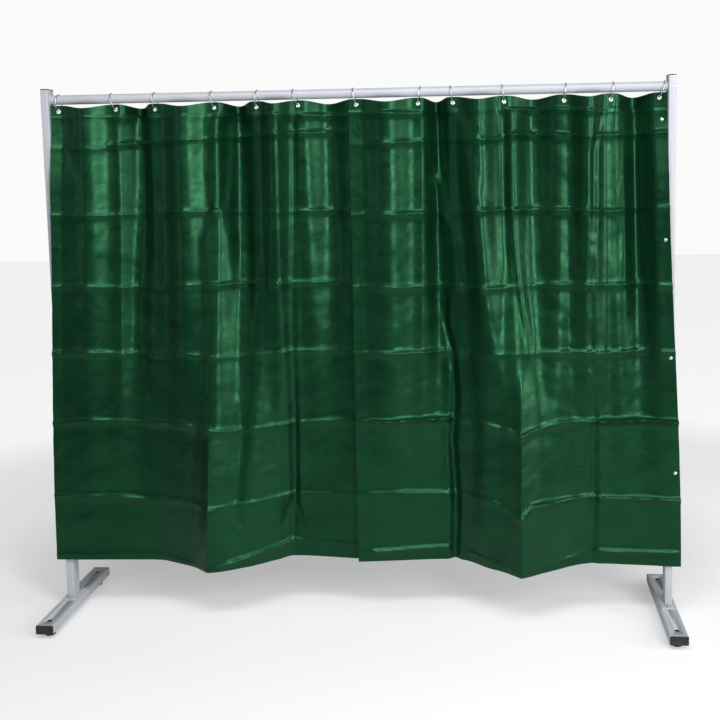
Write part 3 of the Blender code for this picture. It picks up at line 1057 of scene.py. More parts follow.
@dataclass
class Curtain:
    """A hung sheet, set out by its flat distance from its left edge and its share of height from the top."""

    side: Side
    maker: Maker
    slack_shares: tuple
    bulges: tuple
    hem_folds: tuple
    folds: tuple
    creases: tuple
    puckers: tuple
    width: float = 1.40
    length: float = 1.60
    thickness: float = 0.001
    margin: float = 0.025
    eyelets: int = 7
    flat_at_eyelet: float = 0.010
    header: float = 0.045
    droop: float = 0.012
    end_turn: float = np.radians(25)
    end_strip: float = 0.040
    edge_depth: float = 0.032
    overhang: float = 0.052
    hem_z: float = 0.194
    hem_weld: float = 0.036
    hole: float = 0.0054
    columns: int = 250
    column_reach: float = 0.010
    rows: int = 194
    row_reach: float = 0.013
    denser: float = 4.0
    eyelet_z: float = 1.7695
    keep: float = 0.35
    sharp: float = 60.0
    crease_gain: float = 2.0
    crease_at_lap: float = 0.2
    lean_headers: float = 5.5       # headers over which the outer edge leans forward
    lap_ease: float = 0.05
    soft_start: tuple = (0.034, 0.045)      # depth below the header line, and the run after it
    crisp_start: tuple = (0.033, 0.012)
    wave_lift: float = 0.0012
    small_wave_lift: float = 0.0005
    edge_curl: float = 0.0015
    weld_step: float = 0.0010
    weld_ease: float = 0.003
    studs: int = 4
    stud_margin: float = 0.018
    stud_first: float = 0.089
    stud_last: float = 0.326
    stud_step: float = 0.004
    stud_sides: int = 40

    @property
    def pitch(self) -> float:
        """Flat distance between eyelets."""
        return (self.width - 2 * self.margin) / (self.eyelets - 1)

    def eyelet_x(self) -> Array:
        """X of each eyelet, left to right: the pitch less its share of the spare width.

        Returns:
            The places along the rail.
        """
        left = self.side is Side.LEFT
        start, end = (-END_RING_X, CENTRE_RING_X) if left else (CENTRE_RING_X, END_RING_X)
        spare = (self.eyelets - 1) * self.pitch - (end - start)
        gaps = self.pitch - spare * np.array(self.slack_shares) / sum(self.slack_shares)
        return start + np.concatenate([[0], np.cumsum(gaps)])

    def eyelet_y(self) -> Array:
        """Depth of each eyelet: on the rail's line, but for the one layered on the centre ring.

        Returns:
            The places front to back.
        """
        depth = np.zeros(self.eyelets)
        layered = -1 if self.side is Side.LEFT else 0
        depth[layered] = -self.side.value * (EYELET_THICKNESS + GAP) / 2
        return depth

    def top_line(self, flat: Array) -> tuple[Array, Array, Array]:
        """The header seen from above: straight at the eyelets, with the spare width bulged between them.

        A bulge is a squared sine along its chord, as deep as the spare length allows.

        Args:
            flat: flat distances from the left edge.

        Returns:
            X, Y and Z of the top edge.
        """
        turn = np.zeros(self.eyelets)
        turn[0 if self.side is Side.LEFT else -1] = -self.side.value * self.end_turn
        heading = np.stack([np.cos(turn), np.sin(turn)], 1)
        eyelet = np.stack([self.eyelet_x(), self.eyelet_y()], 1)
        at = self.margin + self.pitch * np.arange(self.eyelets)
        loose = self.pitch - 2 * self.flat_at_eyelet
        i = np.clip(np.searchsorted(at, flat) - 1, 0, self.eyelets - 2)
        past = flat - at[i] - self.flat_at_eyelet
        start = eyelet[i] + self.flat_at_eyelet * heading[i]
        chord = eyelet[i + 1] - self.flat_at_eyelet * heading[i + 1] - start
        span = np.linalg.norm(chord, axis=-1)
        u = np.clip(past / loose, 0, 1)
        plan = start + chord * u[..., None]
        plan += np.minimum(past, 0)[..., None] * heading[i]
        plan += np.maximum(past - loose, 0)[..., None] * heading[i + 1]
        bow = np.sin(np.pi * u) ** 2
        depth = 2 / np.pi * np.sqrt(span * (loose - span))
        y = plan[..., 1] + np.array(self.bulges)[i] * depth * bow
        return plan[..., 0], y, HEADER_Z - self.droop * bow

    def hem_line(self, flat: Array) -> tuple[Array, Array]:
        """The hem seen from above: eased waves between its fold points, spread evenly by length.

        Args:
            flat: flat distances from the left edge.

        Returns:
            X and Y of the bottom edge.
        """
        sign = self.side.value
        start, end = sorted((CENTRE_RING_X - sign * self.margin, sign * (RAIL_END + self.overhang)))
        shares, depths = (np.array(column) for column in zip(*self.hem_folds))
        fine = np.linspace(0, 1, HEM_SAMPLES)
        i = np.clip(np.searchsorted(shares, fine) - 1, 0, len(shares) - 2)
        u = smooth((fine - shares[i]) / (shares[i + 1] - shares[i]))
        x, y = start + fine * (end - start), depths[i] + (depths[i + 1] - depths[i]) * u
        run = np.concatenate([[0], np.cumsum(np.hypot(np.diff(x), np.diff(y)))])
        at = flat / self.width * run[-1]
        return np.interp(at, run, x), np.interp(at, run, y)

    def base(self, flat: Array, share: Array) -> Array:
        """The sheet without its finer folds: the header line eases into the hem line below the header.

        Args:
            flat: flat distances from the left edge.
            share: shares of the height from the top edge.

        Returns:
            Mid-surface points.
        """
        flat, share = np.broadcast_arrays(flat, share)
        x_top, y_top, z_top = self.top_line(flat)
        x_hem, y_hem = self.hem_line(flat)
        below = share - self.header / self.length
        ease = smooth(below / (1 - self.header / self.length))
        from_outer = flat if self.side is Side.LEFT else self.width - flat
        edge = 1 - smooth((from_outer - self.end_strip) / (2 * self.end_strip))
        lean = smooth(below / (self.lean_headers * self.header / self.length))
        forward = self.edge_depth * edge * lean * (1 - ease)
        x = x_top * (1 - ease) + x_hem * ease
        y = y_top * (1 - ease) + y_hem * ease - forward
        return np.stack([x, y, z_top * (1 - share) + self.hem_z * share], -1)

    def relief(self, flat: Array, place: Array) -> Array:
        """How far the finer shape stands forward of the base: folds, creases, puckers, welds and waves.

        It fades out at the header, so that the sheet still runs through its eyelets. At the lap a sheet's
        folds only lead away from the other sheet.

        Args:
            flat: flat distances from the left edge.
            place: points of the base.

        Returns:
            The lift towards the front at each point.
        """
        x, z = place[..., 0], place[..., 2]
        broad = sum(fold.lift(x, z) for fold in (*self.folds, *self.puckers))
        sharp = sum(crease.lift(x, z) for crease in self.creases) * self.crease_gain
        wave = self.waves(x, z)
        from_centre = flat if self.side is Side.RIGHT else self.width - flat
        lap = smooth((from_centre - self.margin) / self.lap_ease)
        below = HEADER_Z - z
        soft, crisp = (smooth((below - start) / run)
                       for start, run in (self.soft_start, self.crisp_start))
        weld = smooth((self.header - below) / self.weld_ease + 0.5)
        weld += smooth((self.hem_z + self.hem_weld - z) / self.weld_ease + 0.5)
        edge = np.minimum(flat, self.width - flat)
        weld += smooth((self.end_strip - edge) / self.weld_ease + 0.5) * crisp
        away = self.side.value * (broad + wave) > 0
        at_lap = self.crease_at_lap + (1 - self.crease_at_lap) * lap
        lift = (broad + wave) * soft * np.maximum(lap, away) + sharp * crisp * at_lap
        if self.side is Side.RIGHT:
            lift = lift + self.edge_curl * (1 - smooth(flat / self.margin)) * soft
        return lift + self.weld_step * weld

    def waves(self, x: Array, z: Array) -> Array:
        """Faint unevenness of hung film: a coarse and a fine pattern, each two bent sines multiplied.

        Args:
            x: X of the points.
            z: height of the points.

        Returns:
            The lift towards the front.
        """
        coarse = np.sin(z * 47 + 3 * np.sin(x * 9)) * np.sin(x * 13 + 1.7 * np.sin(z * 5))
        small = np.sin(z * 113 + 5 * np.sin(x * 17)) * np.sin(x * 31 + z * 11)
        return coarse * self.wave_lift + small * self.small_wave_lift

    def bent_rows(self, share: Array, flat: Array) -> Array:
        """Height shares of the grid, its rows bent so that they run along the creases.

        Each row keeps its place between the creases above and below it, which lie at their own heights
        in every column.

        Args:
            share: height shares of the level rows.
            flat: flat distances of the columns.

        Returns:
            Height shares, rows by columns.
        """
        level = np.array([0, *[self.share_of(crease.height) for crease in self.creases], 1])
        x = self.base(flat, np.full_like(flat, 0.5))[:, 0]
        lines = [np.array(crease.line) for crease in self.creases]
        bent = [self.share_of(np.interp(x, line[:, 0], line[:, 1])) for line in lines]
        bent = np.array([0 * x, *bent, 0 * x + 1])
        above = np.clip(np.searchsorted(level, share) - 1, 0, len(level) - 2)
        part = ((share - level[above]) / (level[above + 1] - level[above]))[:, None]
        return bent[above] * (1 - part) + bent[above + 1] * part

    def share_of(self, height: Array | float) -> Array | float:
        """Height share at a height, on a sheet that hangs straight."""
        return (HEADER_Z - height) / self.length

    def spots(self, count: int, low: float, high: float, dense: list[float], reach: float,
              share: float) -> Array:
        """Grid stations between two ends, closer together near chosen places.

        The spacing follows the running total of a density that is raised by bells at those places.

        Args:
            count: how many stations.
            low: first end.
            high: second end.
            dense: places that need finer steps.
            reach: half width of each finer stretch.
            share: how much denser the middle of a stretch is.

        Returns:
            The stations in order.
        """
        fine = np.linspace(low, high, DENSITY_SAMPLES)
        away = np.abs(fine[:, None] - np.array(dense)[None, :]) / reach
        density = 1 + share * (1 - smooth(away)).max(1)
        total = np.concatenate([[0], np.cumsum((density[1:] + density[:-1]) / 2)])
        return np.interp(np.linspace(0, total[-1], count), total, fine)

    def build(self) -> bpy.types.Object:
        """Builds the sheet with its thickness and its eyelet holes, and dresses it.

        The two faces stand half the thickness each side of the middle surface, along its own normal.

        Returns:
            The object.
        """
        at = self.margin + self.pitch * np.arange(self.eyelets)
        flat = self.spots(self.columns, 0, self.width, list(at), self.column_reach, self.denser)
        drop = [self.share_of(self.eyelet_z), self.share_of(HEADER_Z - self.header),
                1 - self.hem_weld / self.length]
        drop += [self.share_of(crease.height) for crease in self.creases]
        share = self.spots(self.rows, 0, 1, drop, self.row_reach, self.denser)
        grid_share = self.bent_rows(share, flat)
        grid_flat = np.broadcast_to(flat, grid_share.shape)
        middle = self.base(grid_flat, grid_share)
        middle[..., 1] -= self.relief(grid_flat, middle)
        normal = np.cross(np.gradient(middle, axis=0), np.gradient(middle, axis=1))
        normal /= np.linalg.norm(normal, axis=-1, keepdims=True)
        half = normal * self.thickness / 2
        points = np.concatenate([middle + half, middle - half])
        rows, columns = middle.shape[:2]
        faces = grid_faces(rows, columns, False, False)
        centre = middle.reshape(-1, 3)[faces].mean(1)
        label = self.side.word
        holes = np.array([node_spot(f"{label}_eyelet_{k + 1}")[0] for k in range(self.eyelets)])
        clear = np.linalg.norm(centre[:, None, :] - holes[None], axis=-1).min(1) > self.hole
        faces = faces[clear]
        mesh = self.close(f"{label}_pvc_curtain", points.reshape(-1, 3), faces, rows * columns)
        sheet = self.maker.piece(mesh, Slot.PVC, "frame", (f"{label}_curtain",))
        held = [bpy.data.objects[f"{label}_eyelet_{k + 1}_rolled"] for k in range(self.eyelets)]
        rings = [f"{label}_ring_{k + 1}_wire" for k in range(self.eyelets - 1)]
        rings.append("centre_ring_wire")
        held += self.build_studs() if self.side is Side.RIGHT else []
        self.gather(sheet)
        return sheet

    def close(self, name: str, points: Array, faces: Array, count: int) -> bpy.types.Mesh:
        """Joins the front and back faces of the sheet round every free edge.

        Args:
            name: name of the mesh.
            points: front points, then back points.
            faces: quads of the front.
            count: number of front points.

        Returns:
            The closed mesh.
        """
        ends = np.stack([faces, np.roll(faces, -1, axis=1)], -1).reshape(-1, 2)
        _, index, uses = np.unique(np.sort(ends, axis=1), axis=0, return_index=True,
                                   return_counts=True)
        rim = ends[index[uses == 1]]
        wall = np.column_stack([rim[:, 1], rim[:, 0], rim[:, 0] + count, rim[:, 1] + count])
        every = np.concatenate([faces, faces[:, ::-1] + count, wall])
        mesh = bpy.data.meshes.new(name)
        used, places = np.unique(every, return_inverse=True)
        mesh.from_pydata(points[used].tolist(), [], places.reshape(-1, 4).tolist())
        mesh.update()
        mesh.shade_smooth()
        mesh.set_sharp_from_angle(angle=np.radians(self.sharp))
        return mesh

    def gather(self, item: bpy.types.Object) -> None:
        """Gives a piece its own copy of its mesh."""
        f"{self.side.word}_draw"
        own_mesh(item)

    def build_studs(self) -> list[bpy.types.Object]:
        """Press studs down the outer edge: a dome in front, with its post and washer behind.

        Returns:
            The stud objects.
        """
        made = []
        step, down_step = self.stud_step, self.stud_step / self.length
        spots = [(0, 0), (step, 0), (-step, 0), (0, down_step), (0, -down_step)]
        drops = np.linspace(self.stud_first, self.length - self.stud_last, self.studs)
        for k, drop in enumerate(drops):
            flat = np.array([[self.width - self.stud_margin]])
            share = np.array([[drop / self.length]])
            places = []
            for along, down in spots:
                spot = self.base(flat + along, share + down)
                spot[..., 1] -= self.relief(flat + along, spot)
                places.append(spot[0, 0])
            normal = np.cross(places[4] - places[3], places[1] - places[2])
            normal /= np.linalg.norm(normal)
            normal = -normal if normal[1] > 0 else normal
            grid = moved(turned(STUD_PROFILE, self.stud_sides), tuple(places[0]), facing(normal))
            stud = self.maker.piece(surface(f"press_stud_{k + 1}", grid, sharp=60.0), Slot.NICKEL,
                                    "frame", (f"side_stud_{k + 1}",))
            self.gather(stud)
            made.append(stud)
        return made


# Folds, creases and puckers of each sheet. Heights and X are in the stand's frame.
LEFT_FOLDS = (
    Fold(((0.84, -0.286, 0.136, 0.048, 0), (0.663, -0.291, 0.15, 0.044, 0.01),
          (0.413, -0.3, 0.163, 0.044, 0.018), (0.173, -0.3, 0.17, 0.041, 0.014))),
    Fold(((0.716, -0.502, 0.034, 0.041, 0), (0.627, -0.505, 0.034, 0.048, 0.012),
          (0.411, -0.51, 0.048, 0.054, 0.018), (0.138, -0.524, 0.068, 0.088, 0.02)), crisp=True),
    Fold(((0.77, -0.404, 0.027, 0.027, 0), (0.663, -0.404, 0.031, 0.034, -0.008),
          (0.412, -0.428, 0.034, 0.034, -0.008), (0.194, -0.414, 0.034, 0.034, -0.003))),
    Fold(((0.77, -0.556, 0.027, 0.027, 0), (0.663, -0.564, 0.027, 0.027, -0.006),
          (0.411, -0.585, 0.031, 0.027, -0.006), (0.192, -0.616, 0.031, 0.031, 0))),
    Fold(((1.769, -0.905, 0.095, 0.082, 0.004), (1.124, -0.939, 0.095, 0.088, 0.005),
          (0.59, -0.952, 0.102, 0.095, 0.004), (0.187, -0.962, 0.102, 0.095, 0))),
    Fold(((1.807, -0.795, 0.024, 0.044, -0.008), (1.639, -0.793, 0.024, 0.044, -0.01),
          (1.365, -0.795, 0.027, 0.048, -0.01), (1.053, -0.803, 0.027, 0.048, -0.008),
          (0.77, -0.817, 0.027, 0.048, -0.003), (0.626, -0.82, 0.027, 0.048, 0))),
    Fold(((1.806, -0.743, 0.054, 0.048, 0.014), (1.468, -0.752, 0.054, 0.054, 0.015),
          (1.175, -0.748, 0.058, 0.054, 0.016), (1.017, -0.744, 0.054, 0.054, 0.012),
          (0.77, -0.734, 0.068, 0.068, 0.002), (0.627, -0.741, 0.068, 0.068, 0))),
    Fold(((1.803, -0.584, 0.082, 0.068, 0.005), (1.121, -0.612, 0.082, 0.068, 0.005),
          (0.191, -0.659, 0.082, 0.068, 0.005))),
    Fold(((1.784, -0.467, 0.048, 0.02, 0.008), (1.565, -0.476, 0.041, 0.034, 0.012),
          (1.44, -0.474, 0.031, 0.034, 0.014), (1.327, -0.506, 0.031, 0.109, 0.014),
          (1.207, -0.504, 0.031, 0.102, 0.013), (1.051, -0.496, 0.034, 0.082, 0.012),
          (0.77, -0.51, 0.041, 0.075, 0.012), (0.484, -0.514, 0.048, 0.088, 0.01),
          (0.174, -0.523, 0.054, 0.082, 0.002))),
    Fold(((1.412, -0.43, 0.017, 0.02, 0), (1.327, -0.436, 0.02, 0.034, 0.006),
          (1.196, -0.431, 0.017, 0.027, 0.005), (1.12, -0.427, 0.017, 0.027, 0))),
    Fold(((1.783, -0.44, 0.027, 0.027, -0.014), (1.565, -0.445, 0.024, 0.024, -0.012),
          (1.463, -0.452, 0.017, 0.024, -0.008), (1.412, -0.464, 0.014, 0.017, 0))),
    Fold(((1.798, -0.357, 0.034, 0.041, -0.012), (1.292, -0.368, 0.034, 0.048, -0.018),
          (0.98, -0.372, 0.027, 0.041, -0.006), (0.77, -0.379, 0.027, 0.041, 0))),
    Fold(((1.796, -0.282, 0.048, 0.027, 0.01), (1.291, -0.295, 0.051, 0.027, 0.012),
          (1.015, -0.315, 0.048, 0.034, 0.008), (0.769, -0.337, 0.048, 0.048, 0.008),
          (0.485, -0.347, 0.068, 0.068, 0.008), (0.177, -0.35, 0.068, 0.068, 0))),
    Fold(((1.795, -0.221, 0.027, 0.041, -0.018), (1.187, -0.233, 0.034, 0.034, -0.02),
          (0.945, -0.234, 0.027, 0.027, -0.014), (0.699, -0.234, 0.024, 0.024, -0.016),
          (0.431, -0.242, 0.02, 0.024, -0.016), (0.251, -0.251, 0.02, 0.02, -0.004),
          (0.174, -0.254, 0.02, 0.02, 0))),
    Fold(((0.421, -0.239, 0.017, 0.017, 0), (0.37, -0.265, 0.02, 0.02, -0.007),
          (0.286, -0.293, 0.02, 0.02, 0))),
    Fold(((0.421, -0.239, 0.017, 0.017, 0), (0.341, -0.224, 0.017, 0.017, -0.007),
          (0.251, -0.209, 0.017, 0.017, 0))),
)
LEFT_CREASES = (
    Crease(((-1.018, 1.755, 0.001), (-0.801, 1.75, 0.0015), (-0.777, 1.75, 0.005),
            (-0.683, 1.748, 0.005), (-0.655, 1.748, 0.0015), (-0.482, 1.745, 0.0015),
            (-0.441, 1.75, 0.0045), (-0.345, 1.748, 0.0045), (-0.25, 1.746, 0.003),
            (-0.188, 1.746, 0.0015), (-0.168, 1.745, 0.004), (-0.016, 1.742, 0.004))),
    Crease(((-1.024, 1.648, 0.002), (-0.869, 1.645, 0.002), (-0.851, 1.655, 0.002),
            (-0.77, 1.662, 0.006), (-0.715, 1.661, 0.006), (-0.694, 1.666, 0.0025),
            (-0.492, 1.672, 0.002), (-0.444, 1.679, 0.004), (-0.372, 1.678, 0.004),
            (-0.286, 1.68, 0.002), (-0.177, 1.686, 0.005), (-0.017, 1.689, 0.005), (0.02, 1.689, 0.005))),
    Crease(((-1.037, 1.419, 0.002), (-0.846, 1.416, 0.0025), (-0.705, 1.421, 0.001),
            (-0.613, 1.428, 0.004), (-0.551, 1.427, 0.004), (-0.391, 1.422, 0.001),
            (-0.219, 1.419, 0.001), (-0.143, 1.423, 0.004), (-0.031, 1.422, 0.004))),
    Crease(((-1.051, 1.172, 0.002), (-1.008, 1.172, 0.004), (-0.901, 1.171, 0.004),
            (-0.823, 1.165, 0.002), (-0.738, 1.164, 0.003), (-0.61, 1.175, 0.003),
            (-0.48, 1.176, 0.005), (-0.379, 1.175, 0.005), (-0.202, 1.177, 0.0025),
            (-0.023, 1.175, 0.0025))),
    Crease(((-1.064, 0.941, 0.003), (-1.049, 0.941, 0.005), (-0.905, 0.94, 0.005),
            (-0.834, 0.933, 0.002), (-0.727, 0.929, 0.003), (-0.613, 0.941, 0.003),
            (-0.522, 0.932, 0.003), (-0.409, 0.924, 0.0012), (-0.234, 0.938, 0.003),
            (-0.154, 0.937, 0.003), (-0.043, 0.937, 0.001))),
    Crease(((-1.077, 0.692, 0.003), (-1.041, 0.692, 0.005), (-0.936, 0.702, 0.005),
            (-0.828, 0.695, 0.002), (-0.756, 0.682, 0.002), (-0.735, 0.687, 0.005),
            (-0.609, 0.695, 0.005), (-0.499, 0.681, 0.003), (-0.436, 0.674, 0.003),
            (-0.347, 0.677, 0.001), (-0.231, 0.681, 0.004), (-0.119, 0.688, 0.004),
            (-0.039, 0.689, 0.001))),
    Crease(((-1.092, 0.429, 0.002), (-1.037, 0.429, 0.005), (-0.841, 0.424, 0.005),
            (-0.751, 0.413, 0.003), (-0.624, 0.423, 0.003), (-0.463, 0.419, 0.001),
            (-0.239, 0.424, 0.003), (-0.137, 0.425, 0.003), (-0.045, 0.426, 0.001))),
    Crease(((-1.104, 0.212, 0.001), (-0.76, 0.216, 0.001), (-0.525, 0.2, 0.001),
            (-0.442, 0.221, 0.005), (-0.241, 0.256, 0.005), (-0.212, 0.251, 0.001),
            (-0.05, 0.245, 0.001))),
)
LEFT_PUCKERS = (
    Pucker((-1.029, 1.299), (0.0204, 0.0085), 45, 0.003),
    Pucker((-1.045, 1.019), (0.0204, 0.0085), -45, 0.003),
    Pucker((-1.069, 0.589), (0.0204, 0.0085), 45, 0.003),
    Pucker((-0.539, 0.663), (0.0272, 0.0102), 30, 0.005),
    Pucker((-0.423, 0.34), (0.0544, 0.017), -60, 0.006),
    Pucker((-0.743, 1.661), (0.0272, 0.0136), 0, 0.005),
    Pucker((-0.317, 0.521), (0.068, 0.0238), 0, 0.006),
    Pucker((-0.503, 0.411), (0.0136, 0.0238), 90, 0.008),
    Pucker((-0.47, 1.44), (0.0136, 0.0272), 80, 0.006),
    Pucker((-0.902, 1.36), (0.0544, 0.034), 10, 0.003),
    Pucker((-0.623, 1.052), (0.0612, 0.034), -8, 0.003),
    Pucker((-0.107, 1.014), (0.0612, 0.0306), 0, 0.002),
    Pucker((-0.973, 0.335), (0.0612, 0.0272), 5, 0.003),
)
RIGHT_FOLDS = (
    Fold(((1.113, 0.414, 0.034, 0.041, 0), (0.976, 0.433, 0.041, 0.048, -0.006),
          (0.7, 0.478, 0.054, 0.041, -0.012), (0.419, 0.489, 0.054, 0.041, -0.01),
          (0.183, 0.487, 0.048, 0.041, -0.004))),
    Fold(((1.747, 0.136, 0.116, 0.102, 0.003), (1.116, 0.123, 0.116, 0.102, 0.004),
          (0.416, 0.136, 0.116, 0.102, 0.003), (0.201, 0.132, 0.116, 0.102, 0))),
    Fold(((1.771, 0.253, 0.017, 0.027, 0.008), (1.569, 0.266, 0.017, 0.027, 0.01),
          (1.486, 0.292, 0.017, 0.027, 0.012), (1.402, 0.3, 0.02, 0.031, 0.016),
          (1.284, 0.292, 0.02, 0.031, 0))),
    Fold(((1.783, 0.296, 0.048, 0.041, -0.012), (1.585, 0.32, 0.054, 0.041, -0.014),
          (1.385, 0.33, 0.061, 0.041, -0.014), (1.182, 0.328, 0.034, 0.034, -0.008),
          (1.046, 0.326, 0.034, 0.034, 0))),
    Fold(((1.789, 0.349, 0.027, 0.034, 0.008), (1.683, 0.368, 0.027, 0.041, 0.014),
          (1.518, 0.382, 0.034, 0.048, 0.016), (1.411, 0.398, 0.041, 0.075, 0.014),
          (1.249, 0.423, 0.048, 0.102, 0.014), (1.045, 0.447, 0.054, 0.088, 0.01),
          (0.769, 0.475, 0.054, 0.054, 0.004), (0.63, 0.484, 0.054, 0.054, 0))),
    Fold(((1.785, 0.505, 0.027, 0.02, -0.008), (1.449, 0.505, 0.027, 0.02, -0.01),
          (1.248, 0.513, 0.027, 0.017, -0.006), (1.113, 0.519, 0.027, 0.017, 0))),
    Fold(((1.785, 0.537, 0.02, 0.061, 0.01), (1.449, 0.535, 0.02, 0.054, 0.012),
          (1.281, 0.543, 0.017, 0.034, 0.008), (1.146, 0.559, 0.02, 0.027, 0.01),
          (1.01, 0.582, 0.024, 0.024, 0.008), (0.942, 0.585, 0.02, 0.02, 0.004),
          (0.89, 0.584, 0.02, 0.02, 0))),
    Fold(((0.873, 0.557, 0.034, 0.061, 0), (0.787, 0.555, 0.034, 0.068, 0.016),
          (0.419, 0.552, 0.044, 0.088, 0.028), (0.152, 0.55, 0.054, 0.095, 0.026)), crisp=True),
    Fold(((1.736, 0.691, 0.102, 0.088, 0.005), (1.111, 0.683, 0.102, 0.088, 0.005),
          (0.189, 0.686, 0.102, 0.088, 0.003))),
    Fold(((1.797, 0.835, 0.014, 0.017, -0.004), (1.674, 0.812, 0.017, 0.017, -0.01),
          (1.609, 0.799, 0.02, 0.02, -0.014), (1.428, 0.799, 0.02, 0.02, -0.012),
          (1.278, 0.796, 0.017, 0.02, -0.004), (1.161, 0.792, 0.017, 0.02, -0.01),
          (0.958, 0.792, 0.017, 0.02, -0.01), (0.838, 0.796, 0.014, 0.017, -0.003),
          (0.7, 0.802, 0.02, 0.024, -0.012), (0.403, 0.802, 0.02, 0.024, -0.012),
          (0.208, 0.796, 0.02, 0.024, -0.005))),
    Fold(((1.777, 0.88, 0.031, 0.031, -0.006), (1.277, 0.881, 0.031, 0.031, -0.006),
          (1.11, 0.888, 0.031, 0.031, 0))),
    Fold(((1.776, 0.919, 0.024, 0.027, 0.006), (1.443, 0.913, 0.027, 0.041, 0.01),
          (1.177, 0.911, 0.027, 0.041, 0.005), (0.974, 0.912, 0.027, 0.041, 0))),
    Fold(((1.775, 0.951, 0.027, 0.034, -0.008), (1.277, 0.953, 0.027, 0.034, -0.008),
          (1.042, 0.961, 0.027, 0.034, 0))),
    Fold(((1.605, 1.004, 0.048, 0.034, 0.004), (1.109, 1.01, 0.048, 0.034, 0.004),
          (0.7, 1.023, 0.048, 0.034, 0))),
    Fold(((1.08, 0.296, 0.014, 0.014, 0), (1.029, 0.302, 0.017, 0.014, -0.008),
          (0.932, 0.324, 0.02, 0.02, -0.016), (0.769, 0.332, 0.024, 0.024, -0.018),
          (0.629, 0.32, 0.024, 0.024, -0.016), (0.418, 0.331, 0.027, 0.024, -0.018),
          (0.196, 0.324, 0.027, 0.024, -0.016))),
    Fold(((1.165, 0.321, 0.017, 0.02, 0), (1.097, 0.32, 0.017, 0.02, 0.008),
          (1.029, 0.319, 0.017, 0.02, 0.008), (0.977, 0.318, 0.017, 0.02, 0))),
    Fold(((0.63, 0.423, 0.054, 0.068, 0), (0.489, 0.421, 0.054, 0.068, 0.006),
          (0.186, 0.425, 0.054, 0.068, 0.005))),
)
RIGHT_CREASES = (
    Crease(((-0.002, 1.747, 0.005), (0.222, 1.742, 0.005), (0.242, 1.745, 0.001),
            (0.511, 1.746, 0.001), (0.534, 1.75, 0.005), (0.691, 1.747, 0.005), (0.822, 1.733, 0.0035),
            (0.854, 1.735, 0.001), (1.022, 1.735, 0.001))),
    Crease(((-0.001, 1.644, 0.002), (0.053, 1.643, 0.003), (0.227, 1.65, 0.003), (0.294, 1.652, 0.001),
            (0.421, 1.653, 0.004), (0.477, 1.651, 0.004), (0.51, 1.661, 0.002), (0.533, 1.667, 0.007),
            (0.658, 1.664, 0.007), (0.789, 1.654, 0.002), (0.822, 1.658, 0.004), (1.029, 1.664, 0.004))),
    Crease(((-0.014, 1.405, 0.005), (0.223, 1.408, 0.005), (0.29, 1.409, 0.001), (0.401, 1.417, 0.004),
            (0.471, 1.416, 0.004), (0.508, 1.416, 0.002), (0.558, 1.415, 0.005), (0.789, 1.412, 0.005),
            (0.861, 1.407, 0.004), (0.953, 1.413, 0.001), (1.044, 1.418, 0.004))),
    Crease(((-0.013, 1.16, 0.003), (0.361, 1.158, 0.003), (0.415, 1.158, 0.004), (0.489, 1.157, 0.004),
            (0.556, 1.16, 0.001), (0.706, 1.165, 0.004), (0.789, 1.164, 0.004), (0.829, 1.161, 0.0035),
            (1.052, 1.159, 0.0035))),
    Crease(((-0.019, 0.932, 0.005), (0.283, 0.931, 0.005), (0.385, 0.935, 0.001),
            (0.588, 0.935, 0.001), (0.695, 0.936, 0.004), (0.796, 0.936, 0.004), (0.822, 0.93, 0.004),
            (1.061, 0.936, 0.004))),
    Crease(((-0.025, 0.692, 0.004), (0.093, 0.694, 0.008), (0.314, 0.696, 0.008),
            (0.331, 0.701, 0.004), (0.41, 0.701, 0.004), (0.485, 0.686, 0.004), (0.556, 0.668, 0.006),
            (0.62, 0.686, 0.004), (0.688, 0.7, 0.004), (0.789, 0.697, 0.004), (0.822, 0.697, 0.009),
            (1.066, 0.699, 0.009))),
    Crease(((-0.031, 0.436, 0.003), (0.119, 0.441, 0.003), (0.151, 0.439, 0.005), (0.31, 0.432, 0.005),
            (0.345, 0.43, 0.003), (0.458, 0.431, 0.003), (0.516, 0.412, 0.003), (0.554, 0.394, 0.005),
            (0.585, 0.43, 0.007), (0.789, 0.433, 0.004), (0.823, 0.428, 0.006), (1.085, 0.428, 0.006))),
    Crease(((-0.036, 0.228, 0.001), (0.013, 0.232, 0.005), (0.283, 0.24, 0.005), (0.314, 0.239, 0.001),
            (0.552, 0.206, 0.001), (0.796, 0.237, 0.001), (0.823, 0.241, 0.005), (1.039, 0.243, 0.005),
            (1.093, 0.244, 0.001))),
)
